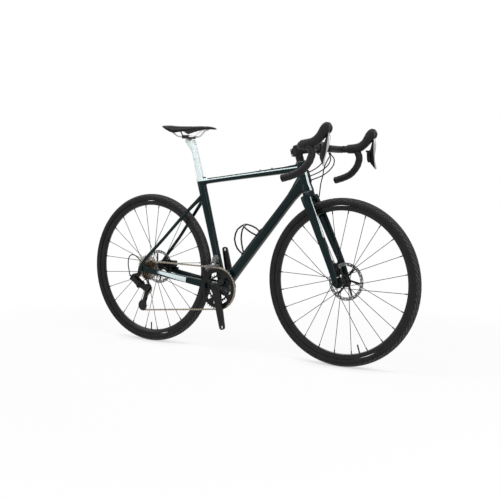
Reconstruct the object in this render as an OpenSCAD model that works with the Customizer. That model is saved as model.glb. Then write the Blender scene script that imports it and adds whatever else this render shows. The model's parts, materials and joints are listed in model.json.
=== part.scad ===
// Drop-bar road bicycle with hydraulic disc brakes and wide all-road tyres, without pedals.
// X points forward, Y to the rider's left, Z up, in millimetres.
// The origin lies on the ground midway between the two wheel axles.

/* [Frame geometry] */
// Distance between the two wheel axles
wheelbase = 1017; // [1005:1:1040]
// Depth of the bottom bracket below the axle line
bb_drop = 66; // [60:1:72]
// Distance from the rear axle to the bottom bracket
chainstay = 426; // [422:1:440]
// Seat tube angle from the horizontal
seat_angle = 74.5; // [73.5:0.5:75.5]
// Head tube angle from the horizontal
head_angle = 72.5; // [71.5:0.5:73.5]
// Length of the seat tube, bottom bracket to its open top
seat_tube = 512; // [500:1:530]
// Length of the head tube
head_tube = 132; // [125:1:150]
// Height of the bottom of the head tube above the front axle, along the steering axis
fork_length = 402; // [398:1:412]
// Offset of the front axle ahead of the steering axis
fork_rake = 48; // [44:1:52]
// Half the width of the bottom bracket shell
shell_half = 43.25; // [42:0.25:44]
// Radius of the bottom bracket shell
shell_r = 27; // [26:0.5:29]

/* [Wheels] */
// Outer radius of both tyres
wheel_r = 350; // [345:1:355]
// Width of both tyres
tyre_w = 40; // [36:1:42]
// Thickness of the tyre wall
tyre_wall = 3; // [2:0.5:4]
// Outer width of the rims
rim_w = 25; // [23:0.5:27]
// Radial depth of the rims
rim_depth = 20; // [18:1:26]
// Radius of the rim flange that the tyre sits on
flange_top = 317; // [316:0.5:319]
// Spokes in each wheel
spoke_count = 24; // [20:4:28]
// Radius of a spoke
spoke_r = 1; // [0.8:0.1:1.2]
// Radius of the hub flanges
hub_flange_r = 22; // [20:1:24]
// Width of the front hub between the fork legs
front_hub_w = 100; // [99:0.5:101]
// Width of the rear hub between the dropouts
rear_hub_w = 142; // [141:0.5:143]
// Radius of both thru-axles
axle_r = 6; // [5:0.5:6.5]
// Radius of the brake rotors
rotor_r = 80; // [70:1:82]
// Thickness of the brake rotors
rotor_t = 1.8; // [1.6:0.1:2]

/* [Drivetrain] */
// Length of a crank arm, spindle to pedal hole
crank_len = 172.5; // [165:2.5:175]
// Angle of the right crank ahead of straight down
crank_turn = 14.5; // [0:0.5:30]
// Teeth on the large chainring
big_teeth = 46; // [44:2:48]
// Teeth on the small chainring
small_teeth = 30; // [30:1:32]
// Teeth on each derailleur pulley
pulley_teeth = 11; // [11:1:12]
// Distance of the chain from the centre plane
chain_line = 46.3; // [46:0.1:46.8]
// Distance between neighbouring sprockets
cog_step = 3.74; // [3.7:0.01:3.8]
// Radius of the crank spindle
spindle_r = 12; // [11:0.5:12.5]

/* [Seat] */
// Height of the seatpost head above the bottom bracket, along the seat tube
seat_height = 682; // [670:1:720]
// Length of seatpost inside the frame
post_inside = 162; // [150:1:170]
// Half the depth of the seatpost section, front to back
post_depth = 16; // [15:0.5:16]
// Half the width of the seatpost section
post_width = 12.5; // [11.5:0.5:12.5]
// Length of the saddle
saddle_len = 278; // [265:1:285]
// Width of the saddle
saddle_w = 142; // [135:1:155]
// Radius of a saddle rail
rail_r = 3.5; // [3:0.5:4]

/* [Cockpit] */
// Height of the spacers between the head tube and the stem
spacer_stack = 31; // [25:1:35]
// Length of the stem, steerer to handlebar
stem_len = 110; // [100:5:120]
// Angle of the stem from square to the steerer
stem_angle = -11; // [-13:1:-9]
// Height of the stem's steerer clamp
stem_clamp = 39; // [37:1:42]
// Radius of the handlebar at the stem
bar_clamp_r = 15.9; // [15:0.1:16]
// Radius of the handlebar under the tape
bar_r = 11.9; // [11.5:0.1:12.5]
// Thickness of the handlebar tape
tape_t = 3.6; // [3:0.1:4]
// Radius of the steerer tube
steerer_r = 14.3; // [14:0.1:15]
// Radius of the brake hoses and gear housings
hose_r = 2.5; // [2:0.1:2.7]

/* [Hidden] */
$fn = 48;

// Sides of the round ends of blended pieces, of the frame's bores and of its small holes
blend_fn = 24;
bore_fn = 32;
hole_fn = 16;

// Clearances: a turning shaft, a sliding or seated piece, and two moving bodies
run_gap = 0.05;
seat_gap = 0.2;
body_gap = 0.4;

// Colours of the finishes
deep_green = "#0d2b2a";
pale_mint = "#dfeeee";
black_part = "#1a1a1c";
rubber = "#242426";
silver = "#b8bbc0";
steel = "#8d8a86";

// Main points and directions
rear = [-wheelbase / 2, 0, wheel_r];
front = [wheelbase / 2, 0, wheel_r];
bb = rear + [sqrt(chainstay ^ 2 - bb_drop ^ 2), 0, -bb_drop];
seat_up = [-cos(seat_angle), 0, sin(seat_angle)];
seat_fore = [sin(seat_angle), 0, cos(seat_angle)];
head_up = [-cos(head_angle), 0, sin(head_angle)];
head_fore = [sin(head_angle), 0, cos(head_angle)];
steer_foot = front - fork_rake * head_fore;
function on_head(s, x = 0, y = 0) = steer_foot + s * head_up + x * head_fore + [0, y, 0];
function on_seat(s, x = 0, y = 0) = bb + s * seat_up + x * seat_fore + [0, y, 0];

// Stations along the steering axis
head_low = fork_length;
head_top = head_low + head_tube;
clamp_low = head_top + spacer_stack;
clamp_mid = clamp_low + stem_clamp / 2;
bar_along = stem_len * cos(stem_angle);
bar_rise = stem_len * sin(stem_angle);
bar_c = on_head(clamp_mid + bar_rise, bar_along);

// Down tube line, bottom bracket to the middle of the head tube
down_top = on_head(head_low + 56);
down_dir = (down_top - bb) / norm(down_top - bb);
down_up = [-down_dir.z, 0, down_dir.x];
down_half = 21;
function on_down(s, h = 0, y = 0) = bb + s * down_dir + (down_half + h) * down_up + [0, y, 0];

// Lists of stations: a smooth curve through them, rings along them, and skins over the rings
function unit(v) = v / norm(v);
function knot(rows, i) = rows[max(0, min(len(rows) - 1, i))];
function spline(a, b, c, d, t) =
  0.5 * (2 * b + (c - a) * t + (2 * a - 5 * b + 4 * c - d) * t ^ 2 + (3 * b - a - 3 * c + d) * t ^ 3);
function smooth(rows, steps) = concat(
  [
    for (i = [0 : len(rows) - 2], s = [0 : steps - 1])
      spline(knot(rows, i - 1), rows[i], rows[i + 1], knot(rows, i + 2), s / steps)
  ],
  [rows[len(rows) - 1]]
);
function point(row) = [row[0], row[1], row[2]];
function heading(rows, i) = unit(point(knot(rows, i + 1)) - point(knot(rows, i - 1)));
function power(v, e) = sign(v) * abs(v) ^ (2 / e);
function ring(c, u, v, a, b, e, n) = [
  for (k = [0 : n - 1])
    let (t = 360 * (k + 0.5) / n)
    c + power(cos(t), e) * a * u + power(sin(t), e) * b * v
];

// Rings of a tube whose rows are [x, y, z, half height, half width, squareness], held level across Y
function tube_rings(rows, n) = [
  for (i = [0 : len(rows) - 1])
    let (t = heading(rows, i), v = unit([0, 1, 0] - t.y * t), u = cross(v, t), r = rows[i])
    ring(point(r), u, v, r[3], r[4], r[5], n)
];

// Rings of a round cord or bar, carried along its path without twist; rows are [x, y, z, radius]
function carried(rows, i, u) =
  let (t = heading(rows, i)) unit(u - (u * t) * t);
function cord_frames(rows, u, i = 0) =
  i == len(rows) ? [] : let (w = carried(rows, i, u)) concat([w], cord_frames(rows, w, i + 1));
function cord_rings(rows, n, u) =
  let (frames = cord_frames(rows, u))
  [
    for (i = [0 : len(rows) - 1])
      let (t = heading(rows, i), r = rows[i][3])
      ring(point(rows[i]), frames[i], cross(t, frames[i]), r, r, 2, n)
  ];
function with_radius(path, r) = [for (p = path) [p.x, p.y, p.z, r]];
function mean(pts) = [for (p = pts) 1] * pts / len(pts);

// One closed solid through all the rings
module loft(rings) {
  n = len(rings[0]);
  m = len(rings);
  points = concat([for (r = rings) each r], [mean(rings[0]), mean(rings[m - 1])]);
  sides = [
    for (i = [0 : m - 2], j = [0 : n - 1])
      let (a = i * n + j, b = i * n + (j + 1) % n)
      each [[a, b + n, b], [a, a + n, b + n]]
  ];
  ends = [
    for (j = [0 : n - 1])
      let (k = (j + 1) % n)
      each [[m * n, j, k], [m * n + 1, (m - 1) * n + k, (m - 1) * n + j]]
  ];
  polyhedron(points, concat(sides, ends));
}

// The same form as a row of convex slices, for pieces that are joined to others
module skin(rings) {
  for (i = [0 : len(rings) - 2]) {
    hull() loft([rings[i], rings[i + 1]]);
  }
}

// A smooth round cord through a list of points
module cord(path, r, sides, steps, u = [0, 0, 1])
  loft(cord_rings(smooth(with_radius(path, r), steps), sides, u));

// Placing: along the steering axis, along the seat tube, flat in the XZ plane, and across the frame
module at_head() translate(steer_foot) rotate([0, head_angle - 90, 0]) children();
module at_seat() translate(bb) rotate([0, seat_angle - 90, 0]) children();
module side_plate(y, t) translate([0, y + t / 2, 0]) rotate([90, 0, 0]) linear_extrude(t) children();
module across(c, y0, y1, r) translate([c.x, y1, c.z]) rotate([90, 0, 0]) cylinder(r = r, h = y1 - y0);
module rod(p, q, r) {
  d = q - p;
  translate(p) rotate([0, acos(d.z / norm(d)), atan2(d.y, d.x)]) cylinder(r = r, h = norm(d));
}
module both_sides() {
  children();
  mirror([0, 1, 0]) children();
}

// Frame: one moulded shell with the tubes, the shell bores and the dropouts
drop_in = rear_hub_w / 2;
drop_out = drop_in + 9;
tube_sides = 16;
stay_sides = 12;
bearing_h = 8;
lower_race_r = 16.6;
lower_cup_r = 23.5;
upper_cup_r = 20.9;
head_mid_r = 23;
cup_r = 23;
stay_join = seat_tube - 86;
post_bore_low = seat_tube - post_inside - 90;

// Top tube line, with its half height and half width at shares of its length
top_rear = on_seat(seat_tube - 19);
top_front = on_head(head_top - 24);
top_heights = [[0, 16], [0.08, 13.5], [0.2, 13], [0.5, 14], [0.85, 16], [0.94, 19], [1, 21]];
top_widths = [[0, 16], [0.2, 18], [0.5, 20], [0.85, 21], [1, 20]];
function top_at(t) = top_rear + t * (top_front - top_rear);
function top_share(x) = (x - top_rear.x) / (top_front.x - top_rear.x);
top_up = unit([top_rear.z - top_front.z, 0, top_front.x - top_rear.x]);
function top_face(x, h = 0) = top_at(top_share(x)) + (lookup(top_share(x), top_heights) + h) * top_up;

// Threaded places: bottle bosses on the seat tube, cage bolts on the down tube, bolts on the top tube
boss_stations = [146, 210];
boss_r = 4;
boss_face = 17;
cage_bolts = [216, 280];
rack_bolts = [101, 161];
bolt_r = 2.5;
bolt_head_r = 4.4;
bolt_head_h = 2.6;

function seat_tube_rows() = [
  concat(on_seat(0), [18, 26, 2.4]),
  concat(on_seat(60), [16, 22, 2.4]),
  concat(on_seat(170), [16.5, 17.5, 2.4]),
  concat(on_seat(seat_tube - 150), [19.5, 16.5, 2.4]),
  concat(on_seat(seat_tube - 40), [20.5, 16.5, 2.4]),
  concat(on_seat(seat_tube), [20.5, 16.5, 2.4])
];
function top_tube_rows() = [
  for (h = top_heights)
    concat(top_at(h[0]), [h[1], lookup(h[0], top_widths), 3.2])
];
function down_tube_rows() = [
  concat(bb, [24, 30, 2.6]),
  concat(bb + 60 * down_dir, [23, 27, 3]),
  concat(bb + 160 * down_dir, [21.5, 23, 3.4]),
  concat(bb + 0.62 * (down_top - bb), [20, 22, 3.4]),
  concat(bb + 0.84 * (down_top - bb), [20, 22, 3.2]),
  concat(bb + 0.94 * (down_top - bb), [30, 22.5, 2.8]),
  concat(down_top, [36, 21, 2.6])
];
function head_tube_rows() = [
  concat(on_head(head_low), [lower_cup_r + 3, lower_cup_r + 2.5, 2]),
  concat(on_head(head_low + 12), [lower_cup_r + 2.5, lower_cup_r + 2, 2]),
  concat(on_head(head_low + 34), [head_mid_r, head_mid_r, 2]),
  concat(on_head(head_top - 38), [head_mid_r, head_mid_r, 2]),
  concat(on_head(head_top), [upper_cup_r + 2, upper_cup_r + 2, 2])
];
function chainstay_rows() = [
  concat(bb + [-6, -18, 1], [22, 14, 2.6]),
  concat(bb + [-34, -25, 5], [22, 10, 2.8]),
  concat(bb + [-66, -29.5, 10], [20, 6.6, 3]),
  concat(bb + [-105, -35, 16], [18, 7.4, 3]),
  concat(bb + [-180, -46, 28], [15.5, 8.5, 3]),
  concat(rear + [130, -58, -22], [14, 9, 2.8]),
  concat(rear + [64, -68, -11], [13, 7.5, 2.6]),
  concat(rear + [6, 5 - drop_out, -1], [12, 3.4, 2.6])
];
function seatstay_rows() = [
  concat(on_seat(stay_join, -6, -9), [12, 8, 2.4]),
  concat(on_seat(stay_join, -6, -9) + [-34, -14, -36], [9, 7, 2.4]),
  concat(on_seat(stay_join, -6, -9) + [-76, -27, -80], [8.5, 6, 2.4]),
  concat(rear + [120, -58, 146], [8, 6, 2.4]),
  concat(rear + [32, -73, 56], [8.5, 5.5, 2.4]),
  concat(rear + [1, 5 - drop_out, 18], [10, 3.4, 2.4])
];

module dropout() {
  $fn = blend_fn;
  hull() {
    across(rear, -drop_out, -drop_in, 15);
    across(rear + [22, 0, -4], 1 - drop_out, -drop_in, 11);
    across(rear + [6, 0, 22], 1 - drop_out, -drop_in, 10);
  }
}

// Pad on the left chainstay that the rear caliper is bolted to
caliper_seat = 4;
module caliper_pad() {
  hull() {
    translate(rear + [38, rear_rotor_y + 7, caliper_seat - 4]) cube([70, 13, 4]);
    translate(rear + [44, rear_rotor_y + 9, -20]) cube([62, 8, 4]);
  }
}

function post_ring(s, grow) =
  ring(on_seat(s), seat_fore, [0, 1, 0], post_depth + grow, post_width + grow, 2.6, 20);

// Bores for the bearings, the seatpost and the rear axle
module frame_bores() {
  $fn = bore_fn;
  across(bb, -shell_half - 1, shell_half + 1, cup_r + seat_gap);
  at_head() translate([0, 0, head_low - 1]) cylinder(r = lower_race_r + 2, h = head_tube + 2);
  at_head() translate([0, 0, head_low - 1]) cylinder(r = lower_cup_r + seat_gap, h = bearing_h + 1);
  at_head() translate([0, 0, head_top - bearing_h]) cylinder(r = upper_cup_r + seat_gap, h = bearing_h + 1);
  loft([post_ring(post_bore_low, body_gap), post_ring(seat_tube + 30, body_gap)]);
  across(rear, -drop_out - 1, drop_out + 1, axle_r + seat_gap, $fn = blend_fn);
}

// Holes for the bosses and bolts
module frame_holes() {
  $fn = hole_fn;
  for (s = boss_stations) {
    rod(on_seat(s, 5), on_seat(s, 30), boss_r + seat_gap);
  }
  for (s = cage_bolts) {
    rod(on_down(s, -12), on_down(s, 20), bolt_r + seat_gap);
  }
  for (x = rack_bolts) {
    rod(top_face(x, -10), top_face(x, 20), bolt_r + seat_gap);
  }
}

module frame() color(deep_green)
  difference() {
    union() {
      skin(tube_rings(seat_tube_rows(), 20));
      skin(tube_rings(top_tube_rows(), tube_sides));
      skin(tube_rings(smooth(down_tube_rows(), 2), tube_sides));
      skin(tube_rings(head_tube_rows(), 28));
      across(bb, -shell_half, shell_half, shell_r, $fn = bore_fn);
      both_sides() skin(tube_rings(chainstay_rows(), stay_sides));
      both_sides() skin(tube_rings(seatstay_rows(), stay_sides));
      both_sides() dropout();
      caliper_pad();
    }
    frame_bores();
    frame_holes();
    wedge_pocket();
  }

// Wedge that clamps the seatpost from the front, in a pocket open at the top
wedge_t = 8;
wedge_w = 18;
wedge_h = 24;
module wedge_pocket() {
  at_seat() translate([post_depth, -wedge_w / 2 - seat_gap, seat_tube - wedge_h - 4])
    cube([wedge_t + body_gap + seat_gap, wedge_w + 2 * seat_gap, wedge_h + 40]);
}

// Ring with a bore, along Z
module collar(r, bore, h) difference() {
    cylinder(r = r, h = h);
    translate([0, 0, -1]) cylinder(r = bore, h = h + 2);
  }

// Sealed bearings at both ends of the head tube
module headset_bearings() color(steel) {
    at_head() translate([0, 0, head_low + seat_gap])
      collar(lower_cup_r, lower_race_r + run_gap, bearing_h - 2 * seat_gap);
    at_head() translate([0, 0, head_top - bearing_h + seat_gap])
      collar(upper_cup_r, steerer_r + run_gap, bearing_h - 2 * seat_gap);
  }

// Pressed cups with the spindle bearings
cup_lip = 2.2;
cup_depth = 14;
module cup() difference() {
    union() {
      cylinder(r = cup_r, h = cup_depth);
      translate([0, 0, -cup_lip]) cylinder(r = cup_r + 1.5, h = cup_lip);
    }
    translate([0, 0, -cup_lip - 1]) cylinder(r = spindle_r + run_gap, h = cup_depth + cup_lip + 2);
  }
module bottom_bracket() color(black_part) both_sides()
  translate([bb.x, -shell_half, bb.z]) rotate([-90, 0, 0]) cup();

// Replaceable hanger outside the right dropout, held by the axle
hanger_t = 6;
hanger_in = drop_out + seat_gap;
hanger_bolt = rear + [-8, 0, -29];
hanger_hole_r = 5;
module derailleur_hanger() color(black_part)
  difference() {
    hull() {
      across(rear, -hanger_in - hanger_t, -hanger_in, 11, $fn = blend_fn);
      across(hanger_bolt, -hanger_in - hanger_t, -hanger_in, 9.5, $fn = blend_fn);
    }
    across(rear, -hanger_in - hanger_t - 1, -hanger_in + 1, axle_r + seat_gap);
    across(hanger_bolt, -hanger_in - hanger_t - 1, -hanger_in + 1, hanger_hole_r);
  }

// Thru-axles, each with the fixed tube that the hub turns on
hub_tube_r = 8.5;
axle_head_r = 9;
module thru_axle(c, half, right_end, left_end) {
  across(c, -right_end, left_end, axle_r);
  difference() {
    across(c, left_end - 1, left_end + 6, axle_head_r);
    across(c, left_end + 2, left_end + 7, 3);
  }
  difference() {
    across(c, seat_gap - half, half - seat_gap, hub_tube_r);
    across(c, -half - 1, half + 1, axle_r + seat_gap);
  }
}
module rear_axle() color(black_part) thru_axle(rear, drop_in, hanger_in + hanger_t, drop_out + 1.2);

// Bottle cage on the down tube: a flat spine, an upper hoop and two front wires
cage_wire_r = 3.2;
spine_low = 186;
spine_high = 330;
spine_t = 3;
spine_w = 20;
hoop = [[300, 3, 8], [303, 16, 32], [301, 44, 41], [296, 70, 26], [294, 80, 0]];
front_wire = [[294, 79, 8], [258, 86, 20], [218, 66, 26], [194, 30, 20], [188, 4, 6]];
function cage_path(rows, side) = [for (p = rows) on_down(p[0], p[1] + 0.3, side * p[2])];
function cage_loop(rows) =
  concat(cage_path(rows, -1), [for (i = [len(rows) - 2 : -1 : 0]) cage_path(rows, 1)[i]]);
module bottle_cage() color(black_part)
  difference() {
    union() {
      hull() {
        for (s = [spine_low, spine_high]) {
          rod(on_down(s, 0.3), on_down(s, spine_t), spine_w / 2, $fn = blend_fn);
        }
      }
      cord(cage_loop(hoop), cage_wire_r, 6, 2, down_dir);
      for (side = [-1, 1]) {
        cord(cage_path(front_wire, side), cage_wire_r, 6, 2, down_up);
      }
    }
    for (s = cage_bolts) {
      rod(on_down(s, -5), on_down(s, 12), bolt_r + seat_gap, $fn = hole_fn);
    }
  }

// A button-headed bolt standing on a point, with its shank into the piece below
module bolt(p, d, shank) difference() {
    union() {
      rod(p - shank * d, p, bolt_r);
      rod(p, p + bolt_head_h * d, bolt_head_r);
    }
    rod(p + 0.8 * d, p + 4 * d, 1.6);
  }
module frame_bolts() color(black_part) {
    for (s = cage_bolts) {
      bolt(on_down(s, spine_t + 0.1), down_up, 12);
    }
    for (x = rack_bolts) {
      bolt(top_face(x), top_up, 8);
    }
    at_seat() translate([post_depth + body_gap, -wedge_w / 2, seat_tube - wedge_h - 3.8])
      cube([wedge_t, wedge_w, wedge_h + 1]);
  }

// Threaded inserts in the front of the seat tube
boss_hole_r = 2.1;
boss_depth = 11;
module bottle_bosses() color(black_part)
  for (s = boss_stations) {
    difference() {
      union() {
        rod(on_seat(s, boss_face + 0.6 - boss_depth), on_seat(s, boss_face + 0.8), boss_r);
        rod(on_seat(s, boss_face + 0.4), on_seat(s, boss_face + 1.4), boss_r + 1.8);
      }
      rod(on_seat(s, boss_face - boss_depth - 1), on_seat(s, boss_face + 3), boss_hole_r);
    }
  }

// Grommet plate for the cables on the front of the head tube
port_low = head_low + 44;
port_high = head_low + 84;
port_face = 25;
module cable_port() color(black_part)
  difference() {
    hull() {
      for (s = [port_low, port_high]) {
        rod(on_head(s, 21), on_head(s, port_face), 8, $fn = blend_fn);
      }
    }
    at_head() translate([0, 0, head_low]) cylinder(r = head_mid_r + seat_gap, h = head_tube);
  }

// Chain sizes that the sprockets share
link_pitch = 12.7;
roller_r = 3.85;
tooth_tip = 2.6;
function pitch_r(teeth) = link_pitch / (2 * sin(180 / teeth));

// Disc calipers: a body bridged over the rotor, with a slot turned about the axle
front_rotor_y = front_hub_w / 2 - 10.5;
rear_rotor_y = rear_hub_w / 2 - 18;
caliper_half = 13.5;
slot_half = 6.2;
slot_r = rotor_r + 3;
pad_gap = 0.5;
pad_t = slot_half - rotor_t / 2 - pad_gap - seat_gap;
pad_rho = 66;
module rounded_block(size, r) {
  hull() {
    for (x = [r, size.x - r], z = [r, size.z - r]) {
      translate([x, 0, z]) rotate([-90, 0, 0]) cylinder(r = r, h = size.y, $fn = hole_fn);
    }
  }
}
module caliper_pads(y, angle) {
  for (side = [-1, 1]) {
    pad_y = y + side * (rotor_t / 2 + pad_gap + pad_t / 2) - pad_t / 2;
    rotate([0, -angle, 0]) translate([pad_rho - 9, pad_y, -13]) rounded_block([18, pad_t, 26], 4);
  }
}
module hose_fitting(p, q) rod(p, q, hose_r + 2);
rear_pad_angle = 14;
rear_caliper_at = [42, 0, caliper_seat + seat_gap];
rear_caliper_size = [60, 2 * caliper_half, 31];
module rear_caliper() color(black_part) translate(rear)
  difference() {
    union() {
      translate(rear_caliper_at + [0, rear_rotor_y - caliper_half, 0]) rounded_block(rear_caliper_size, 7);
      translate([60, rear_rotor_y, 31]) cylinder(r = 8.5, h = 3);
      hose_fitting([92, rear_rotor_y + 8, 20], [112, rear_rotor_y + 8, 20]);
    }
    across([0, 0, 0], rear_rotor_y - slot_half, rear_rotor_y + slot_half, slot_r);
  }
module rear_pads() color(steel) translate(rear) caliper_pads(rear_rotor_y, rear_pad_angle);

// The front caliper sits behind the left fork leg, with its long side along the leg
front_pad_angle = 123;
front_caliper_at = [-11, 0, 27];
front_caliper_size = [34, 2 * caliper_half, 62];
module at_axle() at_head() translate([fork_rake, 0, 0]) children();
module front_caliper() color(black_part)
  difference() {
    union() {
      at_head() translate(front_caliper_at + [0, front_rotor_y - caliper_half, 0])
        rounded_block(front_caliper_size, 7);
      at_head() hose_fitting([4, front_rotor_y + 6, 88], [6, front_rotor_y + 6, 100]);
    }
    at_axle() across([0, 0, 0], front_rotor_y - slot_half, front_rotor_y + slot_half, slot_r);
  }
module front_pads() color(steel) at_axle() caliper_pads(front_rotor_y, front_pad_angle);

// Front derailleur: clamp plate on the seat tube, swing link and chain cage
fd_pivot = bb + [-30, -27, 132];
fd_lower = fd_pivot + [0, -13, -17];
fd_half = 9;
fd_pin_r = 2.5;
fd_barrel_r = 5.5;
fd_ear_t = 3.6;
function fd_ear_at(side) = side * (fd_half + 2.2) - fd_ear_t / 2;
function grown(rows, g) = [for (r = rows) concat(point(r), [r[3] + g, r[4] + g, r[5]])];
module fd_barrel(c, x0, x1, r) translate(c + [x0, 0, 0]) rotate([0, 90, 0]) cylinder(r = r, h = x1 - x0);
module fd_bracket() color(black_part)
  difference() {
    union() {
      hull() {
        translate(on_seat(120, -9, -21)) cube([20, 4, 34]);
        translate(on_seat(128, -7, -19.5)) cube([16, 4, 26]);
      }
      for (side = [-1, 1]) {
        hull() {
          fd_barrel(fd_pivot, fd_ear_at(side), fd_ear_at(side) + fd_ear_t, fd_barrel_r, $fn = blend_fn);
          fd_barrel(fd_pivot + [0, 7, 3], fd_ear_at(side), fd_ear_at(side) + fd_ear_t, 4, $fn = blend_fn);
        }
      }
      fd_barrel(fd_pivot, -fd_half - 4, fd_half + 4, fd_pin_r);
      translate(fd_pivot + [-fd_half - 4, fd_barrel_r + 0.6, -2]) cube([2 * fd_half + 8, 5, 9]);
    }
    loft(tube_rings(grown([for (k = [1 : 3]) seat_tube_rows()[k]], seat_gap), 20));
  }
module fd_link() color(silver)
  difference() {
    hull() {
      fd_barrel(fd_pivot, -fd_half, fd_half, fd_barrel_r, $fn = blend_fn);
      fd_barrel(fd_lower, -fd_half, fd_half, fd_barrel_r, $fn = blend_fn);
    }
    fd_barrel(fd_pivot, -fd_half - 1, fd_half + 1, fd_pin_r + run_gap);
    fd_barrel(fd_lower, -fd_half - 1, fd_half + 1, fd_pin_r + run_gap);
  }

// Cage plate outline beside the ring: an arc above the teeth, the tail, and a straight top over the chain
ring_tip = pitch_r(big_teeth) + tooth_tip;
cage_plate_t = 1.2;
fd_span = 4.6;
fd_top = ring_tip + 12;
fd_tail = -66;
module fd_outline(low) polygon(concat(
    [for (k = [0 : 8]) let (a = 88 + 5 * k) low * [cos(a), sin(a)]],
    [[fd_tail, 78], [fd_tail, fd_top - 7], [-20, fd_top], [4, fd_top]]
  ));
module fd_ear(side) hull() {
    fd_barrel(fd_lower, fd_ear_at(side), fd_ear_at(side) + fd_ear_t, 5, $fn = blend_fn);
    translate(fd_lower + [fd_ear_at(side), -4, -13]) cube([fd_ear_t, 3, 4]);
  }
module fd_cage() color(silver) {
    translate(bb) side_plate(-chain_line - fd_span, cage_plate_t) fd_outline(ring_tip + 4);
    translate(bb) side_plate(-chain_line + fd_span, cage_plate_t) fd_outline(ring_tip - 5);
    translate(bb) side_plate(-chain_line, 2 * fd_span) translate([-16, fd_top - 2]) square([20, 1.6]);
    translate(bb) side_plate(-chain_line, 2 * fd_span) translate([fd_tail, 78]) square([1.6, 6]);
    for (side = [-1, 1]) {
      fd_ear(side);
    }
    fd_barrel(fd_lower, -fd_half - 4, fd_half + 4, fd_pin_r);
  }

// Gear housing loop from the right dropout to the rear derailleur
rear_loop = [
  [-3.5, -76, 32], [-16, -77, 44], [-32, -80, 57], [-50, -83, 62], [-65, -86, 54], [-71, -88, 34],
  [-69, -90, 8], [-63, -91, -14], [-60, -91.5, -30]
];
module rear_housing() color(black_part) cord([for (p = rear_loop) rear + p], hose_r, 8, 2, [0, 1, 0]);

// Seatpost with its set-back head
post_low = seat_tube - post_inside;
head_c = on_seat(seat_height) + [-24, 0, 4];
head_r = 10;
post_neck = 22;
post_inset = 1;
rail_c = head_c + [-1, 0, 19];
rail_y = 22;
module seatpost() color(pale_mint) {
    loft([post_ring(post_low, 0), post_ring(seat_height - post_neck, 0)]);
    hull() {
      loft([for (s = [2 * post_neck, post_neck + 4]) post_ring(seat_height - s, -post_inset)]);
      across(head_c, -17, 17, head_r);
    }
  }

// Saddle clamp: lower cradle, two upper caps and the pair of bolts
clamp_half = 18;
module saddle_clamp() color(black_part)
  difference() {
    union() {
      translate(rail_c + [-clamp_half, -rail_y - 7, -8.8]) cube([2 * clamp_half, 2 * rail_y + 14, 8.6]);
      for (side = [-1, 1]) {
        translate(rail_c + [-clamp_half, side * rail_y - 7, 0.2])
          rounded_block([2 * clamp_half, 14, 6.5], 2.5);
        translate(rail_c + [side * 11, 0, -0.3]) cylinder(r = 4.5, h = 6);
      }
    }
    for (side = [-1, 1]) {
      translate(rail_c + [-clamp_half - 1, side * rail_y, 0]) rotate([0, 90, 0])
        cylinder(r = rail_r + 0.1, h = 2 * clamp_half + 2);
    }
  }

// Saddle rails, hooked into the shell at the tail and joined towards the nose
rail_path = [
  [-79, -38.5, 31.5], [-65, -31, 17], [-52, -25, 6], [-40, -22, 0], [-26, -22, 0], [0, -22, 0], [26, -22, 0],
  [40, -22, 0], [54, -21, 5], [68, -18, 16], [84, -13, 26], [104, -8, 30]
];
module saddle_rails() color(silver) both_sides() cord([for (p = rail_path) rail_c + p], rail_r, 8, 1);

// Saddle shell and pad: stations are [share of the length from the tail, half width share, top, skirt]
saddle_tail = -124;
saddle_rows = [
  [0, 0.4, 49, 42], [0.02, 0.66, 50.5, 35], [0.06, 0.9, 51, 27], [0.15, 1, 50, 18], [0.25, 0.93, 48, 14],
  [0.36, 0.74, 46.5, 17], [0.48, 0.54, 46, 22], [0.6, 0.4, 46, 25], [0.74, 0.31, 46.5, 27],
  [0.87, 0.275, 46, 29], [0.96, 0.23, 43, 30], [0.99, 0.17, 40, 31.5], [1, 0.1, 38, 33]
];
function saddle_half(r) = let (
    w = r[1] * saddle_w / 2,
    top = r[2],
    low = r[3],
    thick = min(12, (top - low) * 0.7),
    dip = r[1] > 0.3 && r[0] > 0.05 && r[0] < 0.8 ? 4 : 1
  ) [
    [0, top - dip], [0.16 * w, top - dip * 0.6], [0.3 * w, top], [0.55 * w, top - 0.8], [0.78 * w, top - 3.2],
    [0.93 * w, top - 0.3 * (top - low)], [w, top - 0.55 * (top - low)], [0.97 * w, low],
    [0.86 * w, low + 0.5], [0.62 * w, top - thick - 2], [0.3 * w, top - thick], [0, top - thick]
  ];
function saddle_ring(r) = let (half = saddle_half(r), n = len(half)) concat(
    [for (k = [0 : n - 1]) rail_c + [saddle_tail + r[0] * saddle_len, -half[k][0], half[k][1]]],
    [for (k = [n - 2 : -1 : 1]) rail_c + [saddle_tail + r[0] * saddle_len, half[k][0], half[k][1]]]
  );
module saddle() color(rubber) loft([for (r = smooth(saddle_rows, 2)) saddle_ring(r)]);

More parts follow.
